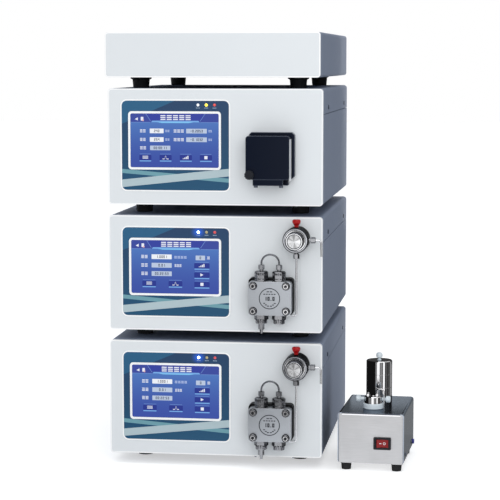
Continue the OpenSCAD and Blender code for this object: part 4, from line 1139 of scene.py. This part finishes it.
def inlet_pins(steel):
    """The three flat pins in each mains inlet."""
    pins = Piece("inlet_pins")
    for low, high in solids_of("power_inlets"):
        if high.x - low.x < 25 * MM:
            continue
        middle = middle_of(low, high)
        for across, up in ((-7, -2), (0, 2), (7, -2)):
            x, z = middle.x + across * MM, middle.z + up * MM
            outline = round_rect(x - 1 * MM, z - 2 * MM, x + 1 * MM, z + 2 * MM, 0.4 * MM)
            pins.plate(outline, low.y + 2.2 * MM, 14 * MM, steel)
    pins.finish("base", "bright_steel")


class CHROMATOGRAPH_OT_switches(bpy.types.Operator):
    """Finishes the rocker switches and the mains inlets, with their signs and pins"""

    bl_idname = "chromatograph.switches"
    bl_label = "Switches and inlets"

    def execute(self, context):
        paint = context.scene.chromatograph_paint
        black = moulded("Switch black", srgb(12, 13, 22), 0.35, 0.25)
        finished(black, "mixer_bezel", "power_inlets", *[unit + "_switch" for unit in UNITS])
        finished(moulded("Red rocker", srgb(138, 14, 20), 0.25, 0.3), "mixer_rocker")
        white = moulded("White sign", srgb(236, 238, 242), 0.5)
        for joint in frame["joints"]:
            if joint["name"] == "mixer_switch_rock":
                rocker_signs(joint, MIXER_TURN, 1, white)
            elif joint["name"].endswith("_switch_rock"):
                rocker_signs(joint, 0, -1, white)
        inlet_pins(polished_steel("Inlet pins", paint.bright, 0.25, 3 * MM))
        return {"FINISHED"}


class CHROMATOGRAPH_OT_insides(bpy.types.Operator):
    """Finishes the drives and the optical bench inside the cases"""

    bl_idname = "chromatograph.insides"
    bl_label = "Inside the cases"

    def execute(self, context):
        cast = satin_steel("Cast and machined", srgb(190, 192, 196), 0.45)
        finished(cast, "lower_pump_drive", "upper_pump_drive")
        finished(moulded("Black bench", srgb(40, 42, 46), 0.5), "detector_bench")
        return {"FINISHED"}


# --------------------------------------------------------------------- stage


def area_lamp(name, place, target, size, power):
    """A soft rectangular lamp that looks at its target."""
    light = bpy.data.lights.new(name, "AREA")
    light.shape = "RECTANGLE"
    light.size, light.size_y = size
    light.energy = power
    lamp = bpy.data.objects.new(name, light)
    lamp.location = place
    look = Vector(target) - Vector(place)
    lamp.rotation_euler = look.to_track_quat("-Z", "Y").to_euler()
    bpy.context.scene.collection.objects.link(lamp)


def studio_world(level):
    """An even pale studio, white behind the object."""
    world = bpy.data.worlds.new("Pale studio")
    web = Web(world)
    even = web.tree.nodes["Background"]
    web.feed((0.97, 0.985, 1), even.inputs["Color"])
    web.feed(level, even.inputs["Strength"])
    white = web.node("Background", Color=(1, 1, 1), Strength=1)
    choice = web.node("MixShader", i0=web.seen_rays(), i1=even.outputs[0], i2=white.outputs[0])
    web.show(choice, "World Output")
    return world


def pale_floor(colour):
    """The floor's finish: pale and matt, lifted towards white where it is seen."""
    floor = Finish("Pale floor", colour, 0.9)
    floor.tint(colour, 0.01, 0.4)
    matt = floor.shader.outputs[0]
    lift = floor.node("Emission", Strength=0.5).outputs[0]
    both = floor.node("AddShader", i0=matt, i1=lift).outputs[0]
    floor.show(floor.node("MixShader", i0=floor.seen_rays(), i1=matt, i2=both))
    return floor.material


# Studio screens round the mixer: from and to in degrees from the camera's side, and the level
SCREENS = (
    (-75, -56, 0.02), (-56, -20, 0.26), (-20, 3, 1.5), (3, 12, 0.2), (12, 20, 0.45),
    (20, 33, 0.16), (33, 49, 1.5), (49, 66, 0.06), (66, 70, 0.25), (70, 90, 0.05), (90, 94, 0.22),
    (94, 178, 0.04),
)


def studio_screen(name, columns, level):
    """A screen that only shows in glossy surfaces, through columns of two points each."""
    strip = bmesh.new()
    rows = [[strip.verts.new(point) for point in column] for column in columns]
    for (foot, head), (next_foot, next_head) in zip(rows, rows[1:]):
        strip.faces.new((foot, next_foot, next_head, head))
    sheet = bpy.data.meshes.new(name)
    strip.to_mesh(sheet)
    strip.free()
    card = bpy.data.materials.new(name)
    web = Web(card)
    web.show(web.node("Emission", Color=(1, 1, 1), Strength=level))
    sheet.materials.append(card)
    screen = bpy.data.objects.new(name, sheet)
    for ray in ("camera", "diffuse", "transmission", "volume_scatter", "shadow"):
        setattr(screen, "visible_" + ray, False)
    bpy.context.scene.collection.objects.link(screen)


def upright_screen(name, points, low, high, level):
    """An upright screen through points of the floor's plan."""
    studio_screen("Screen_" + name, [((x, y, low), (x, y, high)) for x, y in points], level)


def studio_screens(settings):
    """Screens in front of the object, behind the mixer and between it and the stack."""
    middle = middle_of(*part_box("mixer_can"))
    ahead = math.atan2(settings.side - middle.x, settings.back + middle.y)
    # Name, distance, height and last turn in degrees
    arcs = (("tall", settings.reach, 0.6, 150), ("low", settings.low_reach, 0.12, 178))
    for name, reach, height, last in arcs:
        for k, (start, end, level) in enumerate(SCREENS):
            end = min(end, last)
            turns = [ahead + math.radians(start + (end - start) * step / 4) for step in range(5)]
            points = [spot(middle.x, middle.y, reach, turn - math.pi / 2) for turn in turns]
            upright_screen("%s_%02d" % (name, k), points, 0, height, level)
    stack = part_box("lower_pump_cover")[1].x
    case_low, case_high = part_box("mixer_case")
    between, bend, end = (stack + case_low.x) / 2, middle.y + 0.045, case_high.y + 0.2
    back, over = middle.y + 0.12, middle.y + 0.3
    behind = ((between, bend), (between, end))
    # Name, plan, from and to height, level
    for name, points, low, high, level in (
        ("between", ((between, case_low.y), (between, bend)), 0, 0.6, 0.01),
        ("beyond", behind, 0.14, 0.6, 0.01),
        ("below", behind, 0, 0.14, 0.25),
        ("behind", ((case_high.x, back), (case_high.x + 0.4, back)), 0, 0.09, 0.4),
        ("over", ((middle.x - 0.2, over), (middle.x + 0.2, over)), 0.142, 0.26, 0.1),
    ):
        upright_screen(name, points, low, high, level)
    height = 0.5 * MM
    mat = [
        ((x, case_low.y - 0.03, height), (x, back, height))
        for x in (case_high.x - 0.004, case_high.x + 0.2)
    ]
    studio_screen("Screen_mat", mat, 0.36)


class CHROMATOGRAPH_OT_stage(bpy.types.Operator):
    """Sets up the floor, the lamps, the screens and the camera"""

    bl_idname = "chromatograph.stage"
    bl_label = "Stage"

    def execute(self, context):
        scene = context.scene
        settings = scene.chromatograph_stage
        scene.view_settings.view_transform = "Standard"
        scene.world = studio_world(settings.fill)

        grid = bmesh.new()
        bmesh.ops.create_grid(grid, x_segments=2, y_segments=2, size=12)
        sheet = bpy.data.meshes.new("Floor")
        grid.to_mesh(sheet)
        grid.free()
        sheet.materials.append(pale_floor(settings.floor))
        floor = bpy.data.objects.new("Floor", sheet)
        scene.collection.objects.link(floor)

        middle = (0, 0, 0.28)
        area_lamp("Key", (0.5, -2.6, 1.2), middle, (2.2, 1.8), settings.key)
        area_lamp("Top", (0, -0.4, 2.4), middle, (2.2, 1.6), settings.top)
        studio_screens(settings)

        lens = bpy.data.cameras.new("Camera")
        lens.lens = settings.lens
        lens.sensor_width = 36
        camera = bpy.data.objects.new("Camera", lens)
        camera.location = (settings.side, -settings.back, settings.height)
        camera.rotation_euler = (math.radians(90) - settings.dip, 0, settings.turn)
        scene.collection.objects.link(camera)
        scene.camera = camera
        return {"FINISHED"}


# -------------------------------------------------------------------- add-on


OPERATORS = (
    CHROMATOGRAPH_OT_cases,
    CHROMATOGRAPH_OT_feet,
    CHROMATOGRAPH_OT_screws,
    CHROMATOGRAPH_OT_films,
    CHROMATOGRAPH_OT_displays,
    CHROMATOGRAPH_OT_lights,
    CHROMATOGRAPH_OT_heads,
    CHROMATOGRAPH_OT_purge_valves,
    CHROMATOGRAPH_OT_flow_cell,
    CHROMATOGRAPH_OT_mixer,
    CHROMATOGRAPH_OT_switches,
    CHROMATOGRAPH_OT_insides,
    CHROMATOGRAPH_OT_stage,
)


class CHROMATOGRAPH_PT_panel(bpy.types.Panel):
    """Lists the pieces and their settings"""

    bl_label = "Chromatograph"
    bl_idname = "CHROMATOGRAPH_PT_panel"
    bl_space_type = "VIEW_3D"
    bl_region_type = "UI"
    bl_category = "Chromatograph"

    def draw(self, context):
        for operator in OPERATORS:
            self.layout.operator(operator.bl_idname)
        for group in SETTINGS:
            box = self.layout.box()
            for name in SETTINGS[group].__annotations__:
                box.prop(getattr(context.scene, group), name)


def register():
    for group, settings in SETTINGS.items():
        bpy.utils.register_class(settings)
        setattr(bpy.types.Scene, group, PointerProperty(type=settings))
    for operator in OPERATORS:
        bpy.utils.register_class(operator)
    bpy.utils.register_class(CHROMATOGRAPH_PT_panel)


def unregister():
    bpy.utils.unregister_class(CHROMATOGRAPH_PT_panel)
    for operator in reversed(OPERATORS):
        bpy.utils.unregister_class(operator)
    for group, settings in SETTINGS.items():
        delattr(bpy.types.Scene, group)
        bpy.utils.unregister_class(settings)


def main():
    """Registers the add-on and builds every piece."""
    register()
    for operator in OPERATORS:
        group, name = operator.bl_idname.split(".")
        getattr(getattr(bpy.ops, group), name)()


if __name__ == "__main__":
    main()
